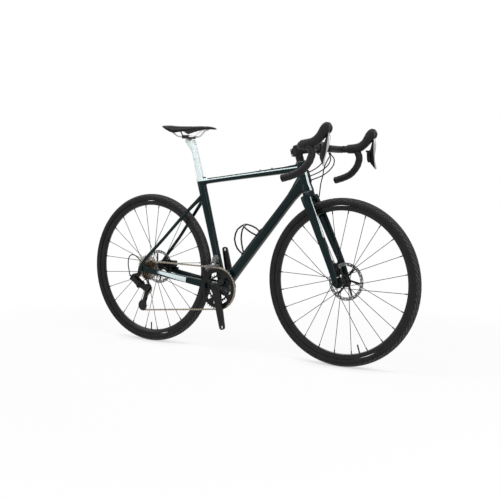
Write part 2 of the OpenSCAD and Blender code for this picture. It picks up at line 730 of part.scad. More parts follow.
// Fork: steerer, crown and two bladed legs, in the steering axis's own frame
leg_in = front_hub_w / 2;
leg_out = leg_in + 13;
fork_race_h = bearing_h;
crown_top = head_low - body_gap;
leg_rows = [
  [-1, -31, fork_length - 14, 24, 13, 2.6], [4, -37, fork_length - 46, 23, 10.5, 2.8],
  [15, -42, fork_length - 100, 21, 9, 2.8], [29, -47, fork_length - 205, 19, 8.5, 2.8],
  [fork_rake - 6, -53, 95, 16, 8, 2.6], [fork_rake - 1, 2 - leg_out + 6, 30, 14, 6.5, 2.4],
  [fork_rake, 6.5 - leg_out, 0, 13, 6.2, 2.4]
];
module fork_shape() {
  translate([0, 0, crown_top - 6]) cylinder(r = steerer_r, h = clamp_low + stem_clamp - crown_top + 2);
  translate([0, 0, crown_top - 2]) cylinder(r = lower_race_r, h = fork_race_h + body_gap + 2);
  translate([0, 0, crown_top - 22]) cylinder(r1 = 25.5, r2 = lower_cup_r + 2, h = 22);
  both_sides() loft(tube_rings(smooth(leg_rows, 2), 14));
  hull() {
    translate([0, 0, crown_top - 10]) cylinder(r = 24, h = 6);
    both_sides() translate([1, -32, crown_top - 32]) cylinder(r = 10, h = 14);
  }
  both_sides() across([fork_rake, 0, 0], -leg_out, -leg_in, 13);
  translate([front_caliper_at.x + front_caliper_size.x + seat_gap, front_rotor_y + 7, 34]) cube([12, 12, 50]);
}
module fork() color(deep_green) at_head()
  difference() {
    fork_shape();
    across([fork_rake, 0, 0], -leg_out - 1, leg_out + 1, axle_r + seat_gap);
  }

// Front thru-axle
module front_axle() color(black_part) at_axle() thru_axle([0, 0, 0], leg_in, leg_out, leg_out + 1.2);

// Headset cover, spacers and top cap on the steerer
cover_h = 8;
spacer_r = 17;
spacer_h = (spacer_stack - cover_h) / 3;
stack_gap = 0.1;
module headset_spacers() color(black_part) at_head() {
    difference() {
      translate([0, 0, head_top + body_gap])
        cylinder(r1 = upper_cup_r + 1.6, r2 = spacer_r, h = cover_h - body_gap - stack_gap);
      translate([0, 0, head_top]) cylinder(r = steerer_r + run_gap, h = cover_h + 1);
    }
    for (k = [0 : 2]) {
      translate([0, 0, head_top + cover_h + k * spacer_h])
        collar(spacer_r, steerer_r + run_gap, spacer_h - stack_gap);
    }
    translate([0, 0, clamp_low + stem_clamp + stack_gap]) difference() {
      cylinder(r1 = spacer_r + 1, r2 = spacer_r - 1, h = 5);
      translate([0, 0, 2]) cylinder(r = 4, h = 4);
    }
  }

// Stem: steerer clamp with a pinch slit, tapered arm and the rear half of the bar clamp
stem_wall = 4.6;
stem_half = 22;
face_gap = 1.2;
face_bolt_y = 15;
face_bolt_z = bar_clamp_r + bolt_r + 1.8;
face_ear_x = 9;
pinch_x = -25;
pinch_half = 10;
pinch_heights = [clamp_low + 8, clamp_low + stem_clamp - 8];
module at_bar() at_head()
  translate([bar_along, 0, clamp_mid + bar_rise]) rotate([0, -stem_angle, 0]) children();
module face_bolt_places() {
  for (y = [-face_bolt_y, face_bolt_y], z = [-face_bolt_z, face_bolt_z]) {
    translate([face_ear_x, y, z]) children();
  }
}
module bar_clamp() difference() {
    union() {
      across([0, 0, 0], -stem_half, stem_half, bar_clamp_r + stem_wall);
      translate([-face_ear_x, -stem_half, -face_bolt_z - bolt_head_r])
        rounded_block([2 * face_ear_x, 2 * stem_half, 2 * face_bolt_z + 2 * bolt_head_r], 3);
    }
    across([0, 0, 0], -stem_half - 1, stem_half + 1, bar_clamp_r + run_gap);
    face_bolt_places() rod([-3 * face_ear_x, 0, 0], [1, 0, 0], bolt_r + seat_gap);
    face_bolt_places() rod([0, 0, 0], [20, 0, 0], bolt_head_r + seat_gap);
  }
module stem() color(black_part)
  difference() {
    union() {
      at_head() translate([0, 0, clamp_low]) cylinder(r = steerer_r + stem_wall, h = stem_clamp);
      at_head() translate([pinch_x - 6, -pinch_half, clamp_low + 2])
        rounded_block([20, 2 * pinch_half, stem_clamp - 4], 4);
      at_bar() difference() {
        bar_clamp();
        translate([-face_gap / 2, -stem_half - 1, -40]) cube([50, 2 * stem_half + 2, 80]);
      }
      at_bar() hull() {
        translate([8 - stem_len, 0, 0]) rotate([0, 90, 0]) cylinder(r = stem_clamp / 2 - 4.5, h = 2);
        translate([-bar_clamp_r - 4, 0, 0]) rotate([0, 90, 0]) cylinder(r = stem_clamp / 2 - 2, h = 2);
      }
    }
    at_head() translate([0, 0, clamp_low - 1]) cylinder(r = steerer_r + run_gap, h = stem_clamp + 2);
    at_head() translate([pinch_x - 8, -0.8, clamp_low - 1])
      cube([-pinch_x + 8 - steerer_r + 4, 1.6, stem_clamp + 2]);
    at_bar() across([0, 0, 0], -stem_half - 1, stem_half + 1, bar_clamp_r + run_gap);
    for (z = pinch_heights) {
      at_head() across([pinch_x, 0, z], -pinch_half - 1, pinch_half + 1, bolt_r + seat_gap);
    }
  }
module stem_faceplate() color(black_part) at_bar()
  difference() {
    bar_clamp();
    translate([face_gap / 2 - 50, -stem_half - 1, -40]) cube([50, 2 * stem_half + 2, 80]);
  }
module cockpit_bolts() color(steel) {
    at_bar() face_bolt_places() bolt([stack_gap, 0, 0], [1, 0, 0], 2 * face_ear_x);
    for (z = pinch_heights) {
      at_head() bolt([pinch_x, -pinch_half - stack_gap, z], [0, -1, 0], 2 * pinch_half);
    }
  }

// Drop handlebar: rows from the stem to the right end, as [ahead, across, up, radius] of the clamp centre
taper_end = 50;
bar_straight = [[0, -26, 0, bar_clamp_r], [0, -38, 0, bar_clamp_r - 1.6], [0, -taper_end, 0, bar_r]];
bar_bend = [
  [0, -62, 0], [0, -148, 0], [8, -178, 1], [28, -196, 3], [50, -203, 2], [66, -205, -8],
  [75, -206, -28], [75, -208, -43], [63, -212, -72], [33, -217, -103], [-5, -222, -120], [-45, -226, -131]
];
bar_sides = 10;
function from_bar(rows) = [for (r = rows) concat(bar_c + point(r), [r[3]])];
function bend_rows(r) = from_bar(smooth(with_radius(bar_bend, r), 2));
function mirrored(rows) = [
  for (i = [len(rows) - 1 : -1 : 0])
    let (r = rows[i])
    [r[0], -r[1], r[2], r[3]]
];
function bar_rows() = concat(from_bar(bar_straight), bend_rows(bar_r));
bar_end = bar_c + bar_bend[len(bar_bend) - 1];
bar_end_dir = unit(bar_bend[len(bar_bend) - 1] - bar_bend[len(bar_bend) - 2]);
module handlebar() color(black_part) {
    loft(cord_rings(concat(mirrored(bar_rows()), bar_rows()), bar_sides, [0, 0, 1]));
    both_sides() rod(bar_end + 0.6 * bar_end_dir, bar_end + 3 * bar_end_dir, bar_r + tape_t - 0.4);
    both_sides() rod(bar_end - 5 * bar_end_dir, bar_end + bar_end_dir, bar_r - 2);
  }

// A tube between two rows of rings of the same count
module sleeve(outer, inner) {
  n = len(outer[0]);
  m = len(outer);
  far = m * n;
  points = concat([for (r = outer) each r], [for (r = inner) each r]);
  walls = [
    for (i = [0 : m - 2], j = [0 : n - 1])
      let (a = i * n + j, b = i * n + (j + 1) % n)
      each [
        [a, b + n, b], [a, a + n, b + n],
        [far + a, far + b, far + b + n], [far + a, far + b + n, far + a + n]
      ]
  ];
  ends = [
    for (j = [0 : n - 1])
      let (k = (j + 1) % n, e = (m - 1) * n)
      each [
        [j, k, far + k], [j, far + k, far + j],
        [e + j, far + e + k, e + k], [e + j, far + e + j, far + e + k]
      ]
  ];
  polyhedron(points, concat(walls, ends));
}
tape_r = bar_r + tape_t;
tape_bore = (bar_r + seat_gap) / cos(180 / bar_sides);
module bar_tape() color(rubber) both_sides()
  sleeve(
    cord_rings(bend_rows(tape_r), bar_sides, [0, 0, 1]),
    cord_rings(bend_rows(tape_bore), bar_sides, [0, 0, 1])
  );

// Right lever hood, as [ahead, across, up, half height, half width, squareness] of the clamp centre
hood_rows = [
  [24, -196, 3, 19, 18, 2.2], [50, -202, 4, 20.5, 18.5, 2.3], [76, -203, 9, 20, 18, 2.4],
  [98, -203, 22, 18.5, 17, 2.5], [114, -202, 38, 20, 16.5, 2.5], [125, -201, 52, 23, 16.5, 2.5],
  [136, -201, 63, 25, 16, 2.5], [147, -201, 70, 22, 14.5, 2.4], [156, -201, 75, 12, 9, 2.2]
];
function placed(rows) = [for (r = rows) concat(bar_c + point(r), [for (k = [3 : len(r) - 1]) r[k]])];
lever_pivot = bar_c + [142, -202, 48];
lever_pin_r = 2.5;
lever_pin_half = 11;
lever_barrel_r = 6.5;
lever_barrel_half = 6;
module hood() difference() {
    skin(tube_rings(placed(smooth(hood_rows, 2)), 14));
    skin(cord_rings(bend_rows(tape_r + seat_gap), bar_sides, [0, 0, 1]));
    across(lever_pivot, lever_pivot.y - lever_barrel_half - 1.2, lever_pivot.y + lever_barrel_half + 1.2,
      lever_barrel_r + 1);
    translate(lever_pivot + [-19, -lever_barrel_half - 1.2, -34]) cube([45, 2 * lever_barrel_half + 2.4, 34]);
    across(lever_pivot, lever_pivot.y - lever_pin_half - body_gap, lever_pivot.y + lever_pin_half + body_gap,
      lever_pin_r + body_gap);
  }
module right_hood() color(rubber) hood();
module left_hood() color(rubber) mirror([0, 1, 0]) hood();

// Brake lever blade on its pivot pin, with the lug and pin that carry the shift paddle
lever_rows = [
  [143, -202, 44, 6.5, 6, 2.4], [146, -203, 30, 9, 6, 2.4], [144, -205, 16, 11, 6, 2.4],
  [140.5, -207.5, 2, 12.5, 5.5, 2.4], [133, -212, -22, 14.5, 4.5, 2.4], [131, -219, -46, 13.5, 4, 2.4],
  [138, -227, -66, 8, 3.5, 2.2], [144, -233, -82, 4, 2.5, 2]
];
paddle_pin_r = 2;
paddle_barrel_r = 4.5;
paddle_pivot = bar_c + [121, -196, -8];
module brake_lever() {
  loft(tube_rings(placed(smooth(lever_rows, 2)), 12));
  across(lever_pivot, lever_pivot.y - lever_barrel_half, lever_pivot.y + lever_barrel_half, lever_barrel_r);
  across(lever_pivot, lever_pivot.y - lever_pin_half, lever_pivot.y + lever_pin_half, lever_pin_r);
  translate(paddle_pivot + [9, -11, -5]) cube([10, 15, 10]);
  rod(paddle_pivot + [-9, 0, 0], paddle_pivot + [12, 0, 0], paddle_pin_r);
}
module right_brake_lever() color(black_part) brake_lever();
module left_brake_lever() color(black_part) mirror([0, 1, 0]) brake_lever();

// Shift paddle behind the blade, on its own pin
paddle_rows = [
  [123, -196, -9, 5.5, 3.5, 2.2], [122, -199, -18, 7, 3, 2.2], [121, -204, -28, 8, 2.6, 2.2],
  [120, -208, -44, 7.5, 2.4, 2.2], [121, -211, -54, 4.5, 2, 2.2]
];
module shift_paddle() difference() {
    union() {
      loft(tube_rings(placed(smooth(paddle_rows, 2)), 10));
      rod(paddle_pivot + [-7, 0, 0], paddle_pivot + [7, 0, 0], paddle_barrel_r);
    }
    rod(paddle_pivot + [-20, 0, 0], paddle_pivot + [20, 0, 0], paddle_pin_r + run_gap);
  }
module right_shift_paddle() color(black_part) shift_paddle();
module left_shift_paddle() color(black_part) mirror([0, 1, 0]) shift_paddle();

// Hoses and gear housings between the handlebar and the frame, and the hose down to the fork crown
line_starts = [[6, -62, -18.4], [6, 62, -18.4], [6, 70, -18.4]];
line_bends = [
  [[13, -51, -25], [24, -31, -42], [12, -10, -64], [-16, -2, -84]],
  [[14, 52, -26], [30, 34, -46], [28, 14, -73], [-2, 3, -99]],
  [[16, 60, -26], [43, 42, -48], [46, 20, -80], [14, 4, -113]]
];
port_stations = [port_high - 2, port_low + 20, port_low + 2];
module control_lines() color(black_part)
  for (k = [0 : 2]) {
    cord(concat(
        [bar_c + line_starts[k]],
        [for (p = line_bends[k]) bar_c + p],
        [on_head(port_stations[k], port_face + 12), on_head(port_stations[k], port_face + 2 * body_gap)]
      ), hose_r, 8, 2, [0, 0, 1]);
  }
module front_brake_hose() color(black_part)
  cord(concat(
      [for (p = [[6, 78, -18.4], [8, 70, -30], [6, 46, -54], [3, 28, -84], [1, 22, -116]]) bar_c + p],
      [on_head(port_low - 22, 56, 22), on_head(crown_top - 12, 36, 29), on_head(crown_top - 28, 26.8, 32)]
    ), hose_r, 8, 2, [0, 0, 1]);

// Wheels, drawn with the axle along Z and the left side up
wheel_fn = 96;
rim_in = flange_top - rim_depth;
tyre_c = wheel_r - tyre_w / 2;
module on_axle(c) translate(c) rotate([-90, 0, 0]) children();
module tyre() rotate_extrude($fn = wheel_fn) difference() {
    translate([tyre_c, 0]) circle(r = tyre_w / 2);
    translate([tyre_c, 0]) circle(r = tyre_w / 2 - tyre_wall);
    translate([0, -tyre_w]) square([flange_top + seat_gap, 2 * tyre_w]);
  }
rim_lip = 2;
rim_well = 6;
module rim() {
  rotate_extrude($fn = wheel_fn) polygon([
    [flange_top, rim_w / 2], [flange_top, rim_w / 2 - rim_lip],
    [flange_top - rim_well, rim_w / 2 - rim_lip - 0.5],
    [flange_top - rim_well - 2, 4], [flange_top - rim_well - 2, -4],
    [flange_top - rim_well, 0.5 + rim_lip - rim_w / 2],
    [flange_top, rim_lip - rim_w / 2], [flange_top, -rim_w / 2],
    [rim_in + 8, 0.6 - rim_w / 2], [rim_in + 2, 3.5 - rim_w / 2], [rim_in, -4.4], [rim_in, 4.4],
    [rim_in + 2, rim_w / 2 - 3.5], [rim_in + 8, rim_w / 2 - 0.6]
  ]);
  rotate([0, 0, 90]) translate([rim_in - 34, 0, 0]) rotate([0, 90, 0]) cylinder(r = 3, h = 40);
}

// Straight-pull spokes: each side alternates leading and trailing spokes
spoke_start = hub_flange_r + 1.2;
spoke_end = rim_in - 0.3;
spoke_sweep = 55;
spoke_shift = 2.5;
nipple_r = 2;
nipple_l = 12;
function polar(r, a, z) = [r * cos(a), r * sin(a), z];
module spoke(side_z, angle, lead) {
  p = polar(spoke_start, angle + lead * spoke_sweep, side_z + lead * spoke_shift);
  q = polar(spoke_end, angle, sign(side_z) * 1.9);
  rod(p, q, spoke_r);
  rod(q - nipple_l * unit(q - p), q, nipple_r);
}
module spokes(flanges) {
  per_side = spoke_count / 2;
  for (side = [0, 1], k = [0 : per_side - 1]) {
    spoke(flanges[side], 360 * (k + side / 2 + 0.25) / per_side, k % 2 == 0 ? 1 : -1);
  }
}

// Hub shells turned about the axle: heights of the right end, both flanges, and the rotor seat on the left
flange_half = 4.5;
rotor_seat_r = 17;
hub_bore = hub_tube_r + run_gap;
module hub(right_end, flanges, left_end) rotate_extrude($fn = wheel_fn) polygon([
    [hub_bore, right_end], [13, right_end], [14, flanges[1] - flange_half - 1],
    [hub_flange_r, flanges[1] - flange_half], [hub_flange_r, flanges[1] + flange_half],
    [15, flanges[1] + flange_half + 3], [12.5, (flanges[0] + flanges[1]) / 2],
    [15, flanges[0] - flange_half - 3], [hub_flange_r, flanges[0] - flange_half],
    [hub_flange_r, flanges[0] + flange_half], [rotor_seat_r, flanges[0] + flange_half + 1],
    [rotor_seat_r, left_end - 1], [rotor_seat_r - 1, left_end], [hub_bore, left_end]
  ]);

// Brake rotor: drilled track, slanted arms, carrier ring and lockring
track_in = rotor_r - 14;
arm_count = 6;
track_holes = 30;
module rotor_outline() difference() {
    union() {
      difference() {
        circle(r = rotor_r, $fn = wheel_fn);
        circle(r = track_in, $fn = wheel_fn);
      }
      circle(r = rotor_seat_r + 7);
      for (k = [0 : arm_count - 1]) {
        rotate(360 * k / arm_count) polygon([
          polar(20, -14, 0), polar(track_in + 1, 18, 0), polar(track_in + 1, 26, 0), polar(20, 14, 0)
        ] * [[1, 0], [0, 1], [0, 0]]);
      }
    }
    circle(r = rotor_seat_r + run_gap);
    for (k = [0 : track_holes - 1]) {
      rotate(360 * k / track_holes) translate([track_in + 4 + 5 * (k % 2), 0]) circle(r = 2.4, $fn = 16);
    }
  }
module rotor(h) {
  translate([0, 0, h - rotor_t / 2]) linear_extrude(rotor_t) rotor_outline();
  translate([0, 0, h]) collar(rotor_seat_r + 5, rotor_seat_r + run_gap, rotor_t / 2 + 3);
}

front_flanges = [24, -34];
rear_flanges = [33, -19];
module on_front() at_axle() rotate([-90, 0, 0]) children();
module front_tyre() color(rubber) on_front() tyre();
module front_rim() color(black_part) on_front() rim();
module front_spokes() color(black_part) on_front() spokes(front_flanges);
module front_hub() color(black_part) on_front() hub(-front_hub_w / 2 + 5, front_flanges, front_rotor_y + 6);
module front_rotor() color(silver) on_front() rotor(front_rotor_y);
module rear_tyre() color(rubber) on_axle(rear) tyre();
module rear_rim() color(black_part) on_axle(rear) rim();
module rear_spokes() color(black_part) on_axle(rear) spokes(rear_flanges);
module rear_hub() color(black_part) on_axle(rear) hub(freehub_in + body_gap, rear_flanges, rear_rotor_y + 6);
module rear_rotor() color(silver) on_axle(rear) rotor(rear_rotor_y);

// Sprocket outline: round roller seats between the teeth, first seat at the phase angle
seat_play = 0.05;
seat_points = 60;
tooth_half = 0.9;
function sprocket(teeth, phase) = [
  for (k = [0 : teeth - 1])
    let (
      a = phase + 360 * k / teeth,
      r = pitch_r(teeth),
      s = (roller_r + seat_play) / cos(seat_points / 2),
      c = [cos(a), sin(a)],
      d = [-sin(a), cos(a)],
      tip = a + 180 / teeth,
      turn = tooth_half / (r + tooth_tip) * 180 / PI
    )
    each [
      (r - s * cos(seat_points)) * c - s * sin(seat_points) * d,
      (r - s) * c,
      (r - s * cos(seat_points)) * c + s * sin(seat_points) * d,
      (r + tooth_tip) * [cos(tip - turn), sin(tip - turn)],
      (r + tooth_tip) * [cos(tip + turn), sin(tip + turn)]
    ]
];

// Chain loop in the XZ plane, in running order: ring, tension pulley, guide pulley, sprocket.
// A turn of 1 is clockwise from the right side of the bicycle, -1 the other way.
cogs = [11, 12, 13, 14, 15, 17, 19, 21, 24, 27, 30];
cog_used = 5;
guide_c = rear + [14, 0, -98];
tension_c = rear + [-12, 0, -178];
function flat(p) = [p.x, p.z];
loop_c = [flat(bb), flat(tension_c), flat(guide_c), flat(rear)];
loop_teeth = [big_teeth, pulley_teeth, pulley_teeth, cogs[cog_used]];
loop_turn = [1, 1, -1, 1];
loop_r = [for (t = loop_teeth) pitch_r(t)];
function run_angle(i) = let (
    j = (i + 1) % 4,
    d = loop_c[j] - loop_c[i]
  ) atan2(d.y, d.x) + asin((loop_turn[j] * loop_r[j] - loop_turn[i] * loop_r[i]) / norm(d));
function side_of(a) = [sin(a), -cos(a)];
function touch(i, a) = loop_c[i] - loop_turn[i] * loop_r[i] * side_of(a);
run_angles = [for (i = [0 : 3]) run_angle(i)];
run_starts = [for (i = [0 : 3]) touch(i, run_angles[i])];
run_ends = [for (i = [0 : 3]) touch((i + 1) % 4, run_angles[i])];
run_pitches = [for (i = [0 : 3]) norm(run_ends[i] - run_starts[i]) / link_pitch];

// Wrap of each wheel in teeth, from the run that arrives to the run that leaves
function wrapped(a) = a - 360 * floor(a / 360);
wrap_teeth = [
  for (i = [0 : 3]) wrapped(loop_turn[i] * (run_angles[(i + 3) % 4] - run_angles[i])) / 360 * loop_teeth[i]
];
function total(v) = [for (x = v) 1] * v;
links = 2 * round((total(wrap_teeth) + total(run_pitches)) / 2);
run_stretch = (links - total(wrap_teeth)) / total(run_pitches);
run_links = run_pitches * run_stretch;

// Stretches in running order, each as [first link number, length in links]: wrap 0, run 0, wrap 1, run 1, ...
function wrap_at(i) = i == 0 ? 0 : wrap_at(i - 1) + wrap_teeth[i - 1] + run_links[i - 1];
wrap_starts = [for (i = [0 : 3]) wrap_at(i)];
function arrive_angle(i) = run_angles[(i + 3) % 4];
function wheel_of(u) = max([for (i = [0 : 3]) if (u >= wrap_starts[i]) i]);
function chain_point(u) = let (
    i = wheel_of(u),
    k = u - wrap_starts[i],
    on = k <= wrap_teeth[i],
    a = arrive_angle(i) - loop_turn[i] * k * 360 / loop_teeth[i]
  ) on ? touch(i, a) : run_starts[i] + (k - wrap_teeth[i]) / run_links[i] * (run_ends[i] - run_starts[i]);
chain_pts = [for (u = [0 : links - 1]) chain_point(u)];

// Phase that puts a roller seat of wheel i under the chain
function seat_phase(i) = let (
    k = ceil(wrap_starts[i]) - wrap_starts[i],
    p = touch(i, arrive_angle(i) - loop_turn[i] * k * 360 / loop_teeth[i]) - loop_c[i]
  ) atan2(p.y, p.x);

// Chain: inner links with their rollers, outer links with their rivets
plate_t = 0.75;
inner_half = 1.15;
outer_half = inner_half + plate_t + 0.08;
plate_r = 4.1;
rivet_r = 1.8;
plate_waist = 0.62 * plate_r;
module link_plate(y, d) side_plate(y, plate_t) {
    for (x = [0, d]) {
      translate([x, 0]) circle(r = plate_r);
    }
    translate([0, -plate_waist]) square([d, 2 * plate_waist]);
  }
module inner_link(d) difference() {
    union() {
      link_plate(-inner_half - plate_t / 2, d);
      link_plate(inner_half + plate_t / 2, d);
      for (x = [0, d]) {
        across([x, 0, 0], -inner_half - 0.2, inner_half + 0.2, roller_r);
      }
    }
    for (x = [0, d]) {
      across([x, 0, 0], -4, 4, rivet_r + seat_gap);
    }
  }
module outer_link(d) {
  link_plate(-outer_half - plate_t / 2, d);
  link_plate(outer_half + plate_t / 2, d);
  for (x = [0, d]) {
    across([x, 0, 0], -outer_half - 0.2, outer_half + 0.2, rivet_r);
  }
}
module chain() color(silver) translate([0, -chain_line, 0])
  for (k = [0 : links - 1]) {
    p = chain_pts[k];
    q = chain_pts[(k + 1) % links];
    translate([p.x, 0, p.y]) rotate([0, -atan2(q.y - p.y, q.x - p.x), 0]) {
      if (k % 2 == 0) inner_link(norm(q - p));
      else outer_link(norm(q - p));
    }
  }

// Cassette on its freehub body, largest sprocket inboard
cog_t = 1.6;
freehub_r = 17.5;
freehub_in = -chain_line + (len(cogs) - 1 - cog_used) * cog_step + 2;
freehub_out = -chain_line - cog_used * cog_step - 2.4;
function cog_y(k) = -chain_line + (k - cog_used) * cog_step;
module cassette() color(steel) translate([rear.x, 0, rear.z]) difference() {
    union() {
      for (k = [0 : len(cogs) - 1]) {
        side_plate(cog_y(k), cog_t) difference() {
          polygon(sprocket(cogs[k], seat_phase(3)));
          if (cogs[k] > 20) {
            for (n = [0 : 5]) {
              rotate(60 * n) translate([(freehub_r + pitch_r(cogs[k])) / 2, 0])
                circle(r = (pitch_r(cogs[k]) - freehub_r) / 2 - 6);
            }
          }
        }
      }
      across([0, 0, 0], freehub_out, freehub_in, freehub_r);
    }
    across([0, 0, 0], freehub_out - 1, freehub_in + 1, hub_bore);
  }

// Chainrings with inward tabs for the spider bolts
tab_count = 4;
big_bolt_r = 55;
small_bolt_r = 40;
ring_bolt_r = 4.8;
big_ring_t = 1.7;
small_ring_t = 1.7;
ring_step = 7.6;
big_band = 22;
small_band = 11;
small_y = -chain_line + ring_step;
crank_angle = -90 + crank_turn;
module chainring(teeth, phase, rim_r, bolt_at) difference() {
    polygon(sprocket(teeth, phase));
    difference() {
      circle(r = rim_r, $fn = wheel_fn);
      for (k = [0 : tab_count - 1]) {
        rotate(crank_angle + 45 + 90 * k) {
          translate([bolt_at, 0]) circle(r = ring_bolt_r + 4);
          polygon([
            [bolt_at, -ring_bolt_r - 3], [rim_r + 2, -rim_r / 4],
            [rim_r + 2, rim_r / 4], [bolt_at, ring_bolt_r + 3]
          ]);
        }
      }
    }
    for (k = [0 : tab_count - 1]) {
      rotate(crank_angle + 45 + 90 * k) translate([bolt_at, 0]) circle(r = ring_bolt_r + seat_gap);
    }
  }
module big_chainring() color(black_part) translate(bb)
  side_plate(-chain_line, big_ring_t)
    chainring(big_teeth, seat_phase(0), pitch_r(big_teeth) - big_band, big_bolt_r);
module small_chainring() color(black_part) translate(bb)
  side_plate(small_y, small_ring_t)
    chainring(small_teeth, 0, pitch_r(small_teeth) - small_band, small_bolt_r);

// Cranks: spindle, boss, four-armed spider and arm on the right, clamped arm on the left
boss_half_r = 26;
spider_in = small_y - small_ring_t / 2 - 0.1;
spider_out = -chain_line + big_ring_t / 2 + 0.1;
arm_in = 51.5;
arm_t = 14;
eye_in = 62;
eye_r = 13;
pedal_hole_r = 6.9;
cup_clear = shell_half + cup_lip + body_gap;
left_in = 54;
left_out = 72;
eye = crank_len * [cos(crank_angle), 0, sin(crank_angle)];
module spider_arm(angle) hull() {
    across(18 * [cos(angle), 0, sin(angle)], -arm_in, spider_in, 11, $fn = blend_fn);
    across(big_bolt_r * [cos(angle), 0, sin(angle)], spider_out, spider_in, 9, $fn = blend_fn);
  }
module spider() difference() {
    for (k = [0 : tab_count - 1]) {
      spider_arm(crank_angle + 45 + 90 * k);
    }
    across([0, 0, 0], -cup_clear, 0, shell_r + 1.5);
    difference() {
      across([0, 0, 0], -arm_in - 1, spider_out, big_bolt_r + 30);
      across([0, 0, 0], -arm_in - 2, spider_out + 1, big_bolt_r - ring_bolt_r - 5);
    }
  }
ring_face = -chain_line - big_ring_t / 2;
module ring_bolts() {
  for (k = [0 : tab_count - 1]) {
    a = crank_angle + 45 + 90 * k;
    across(big_bolt_r * [cos(a), 0, sin(a)], ring_face - 1.6, spider_out + 1, ring_bolt_r);
    across(big_bolt_r * [cos(a), 0, sin(a)], ring_face - 2, ring_face - 0.1, 6.2);
    across(small_bolt_r * [cos(a), 0, sin(a)], spider_in - 1, small_y + small_ring_t / 2 + 1.2, ring_bolt_r);
  }
}
spindle_seat = -arm_in - 8;
module right_crank() color(black_part) translate(bb) {
    difference() {
      union() {
        across([0, 0, 0], -arm_in - arm_t, -cup_clear, boss_half_r);
        hull() {
          across([0, 0, 0], -arm_in - arm_t, -arm_in, 21, $fn = bore_fn);
          across(eye, -eye_in - arm_t, -eye_in, eye_r, $fn = blend_fn);
        }
        spider();
        ring_bolts();
      }
      across(eye, -eye_in - arm_t - 1, -eye_in + 1, pedal_hole_r);
      across([0, 0, 0], -arm_in - arm_t - 1, -arm_in - arm_t + 3, 14);
      across([0, 0, 0], spindle_seat, 0, spindle_r + seat_gap);
    }
    difference() {
      across([0, 0, 0], spindle_seat + seat_gap, left_out - 4, spindle_r);
      across([0, 0, 0], -30, left_out, spindle_r - 2.5);
    }
  }
module left_crank() color(black_part) translate(bb) difference() {
    hull() {
      across([0, 0, 0], left_in, left_out, 19, $fn = bore_fn);
      across(-eye, eye_in, eye_in + arm_t, eye_r, $fn = blend_fn);
    }
    across([0, 0, 0], left_in - 1, left_out + 1, spindle_r + run_gap);
    across(-eye, eye_in - 1, eye_in + arm_t + 1, pedal_hole_r);
  }

// Rear derailleur: slanted parallelogram, drawn with X along the links and Z along the pivots
rd_slant = 38.75;
rd_upper = [-40, 0, -46];
rd_link = 44;
rd_pivot_ys = [-88, -70];
rd_barrel_r = 6;
rd_barrel_half = 12;
rd_pin_r = 2;
rd_ear_in = rd_barrel_half + 0.5;
rd_ear_t = 3;
rd_web = 7;
rd_web_t = 4;
module at_rd() translate(rear + rd_upper) rotate([0, rd_slant, 0]) children();
module upright(x, y, z0, z1, r) translate([x, y, z0]) cylinder(r = r, h = z1 - z0);
module rd_ear(z0, side) hull() {
    for (y = rd_pivot_ys) {
      upright(0, y, z0, z0 + rd_ear_t, rd_barrel_r, $fn = blend_fn);
    }
    translate([side * (rd_web + rd_web_t / 2) - rd_web_t / 2, rd_pivot_ys[0] - rd_barrel_r, z0])
      cube([rd_web_t, rd_pivot_ys[1] - rd_pivot_ys[0] + 2 * rd_barrel_r, rd_ear_t]);
  }

// Yoke with two ears, the web that joins them on the given side, and both pivot pins
module rd_yoke(side) {
  rd_ear(rd_ear_in, side);
  rd_ear(-rd_ear_in - rd_ear_t, side);
  web_x = side * (rd_web + rd_web_t / 2) - rd_web_t / 2;
  translate([web_x, rd_pivot_ys[0] - rd_barrel_r, -rd_ear_in - rd_ear_t])
    cube([rd_web_t, rd_pivot_ys[1] - rd_pivot_ys[0] + 2 * rd_barrel_r, 2 * rd_ear_in + 2 * rd_ear_t]);
  for (y = rd_pivot_ys) {
    upright(0, y, -rd_ear_in - 1, rd_ear_in + 1, rd_pin_r);
  }
}
rd_out = hanger_in + hanger_t + seat_gap;
rd_inset = 0.4;
module rd_bracket() color(black_part) {
    at_rd() rd_yoke(-1);
    hull() {
      across(hanger_bolt, -rd_out - 7.5, -rd_out, 9, $fn = blend_fn);
      at_rd()
        translate([-rd_web - rd_web_t, rd_pivot_ys[0] - rd_barrel_r, rd_ear_in] + rd_inset * [1, 1, 1])
        cube([7, 5, rd_ear_t - 2 * rd_inset]);
    }
    across(hanger_bolt, -rd_out - 1, -hanger_in - 0.5, hanger_hole_r - run_gap);
    rod(rear + rear_loop[len(rear_loop) - 1] + [0, 0, -2.4], rear + [-49, -88, -41], hose_r + 1.5);
  }
module rd_swing_link(y) difference() {
    hull() {
      upright(0, y, -rd_barrel_half, rd_barrel_half, rd_barrel_r, $fn = blend_fn);
      upright(rd_link, y, -rd_barrel_half, rd_barrel_half, rd_barrel_r, $fn = blend_fn);
    }
    for (x = [0, rd_link]) {
      upright(x, y, -rd_barrel_half - 1, rd_barrel_half + 1, rd_pin_r + run_gap);
    }
  }
module rd_outer_link() color(black_part) at_rd() rd_swing_link(rd_pivot_ys[0]);
module rd_inner_link() color(black_part) at_rd() rd_swing_link(rd_pivot_ys[1]);

// Lower knuckle with the drum that holds the sprung cage pivot
drum_c = rear + [18, 0, -90];
drum_r = 16;
drum_out = -74;
drum_in = -54;
cage_shaft_r = 5;
module rd_knuckle() color(black_part) difference() {
    union() {
      at_rd() translate([rd_link, 0, 0]) rd_yoke(1);
      across(drum_c, drum_out, drum_in, drum_r);
      hull() {
        across(drum_c, drum_out + 1, drum_out + 9, drum_r - 2, $fn = blend_fn);
        at_rd() translate([rd_link + rd_web + 0.6, rd_pivot_ys[1] - 16, 1 - rd_ear_in])
          cube([rd_web_t - 1.2, 20, 2 * rd_ear_in - 2]);
      }
    }
    across(drum_c, drum_out + 3, drum_in + 1, cage_shaft_r + run_gap);
  }

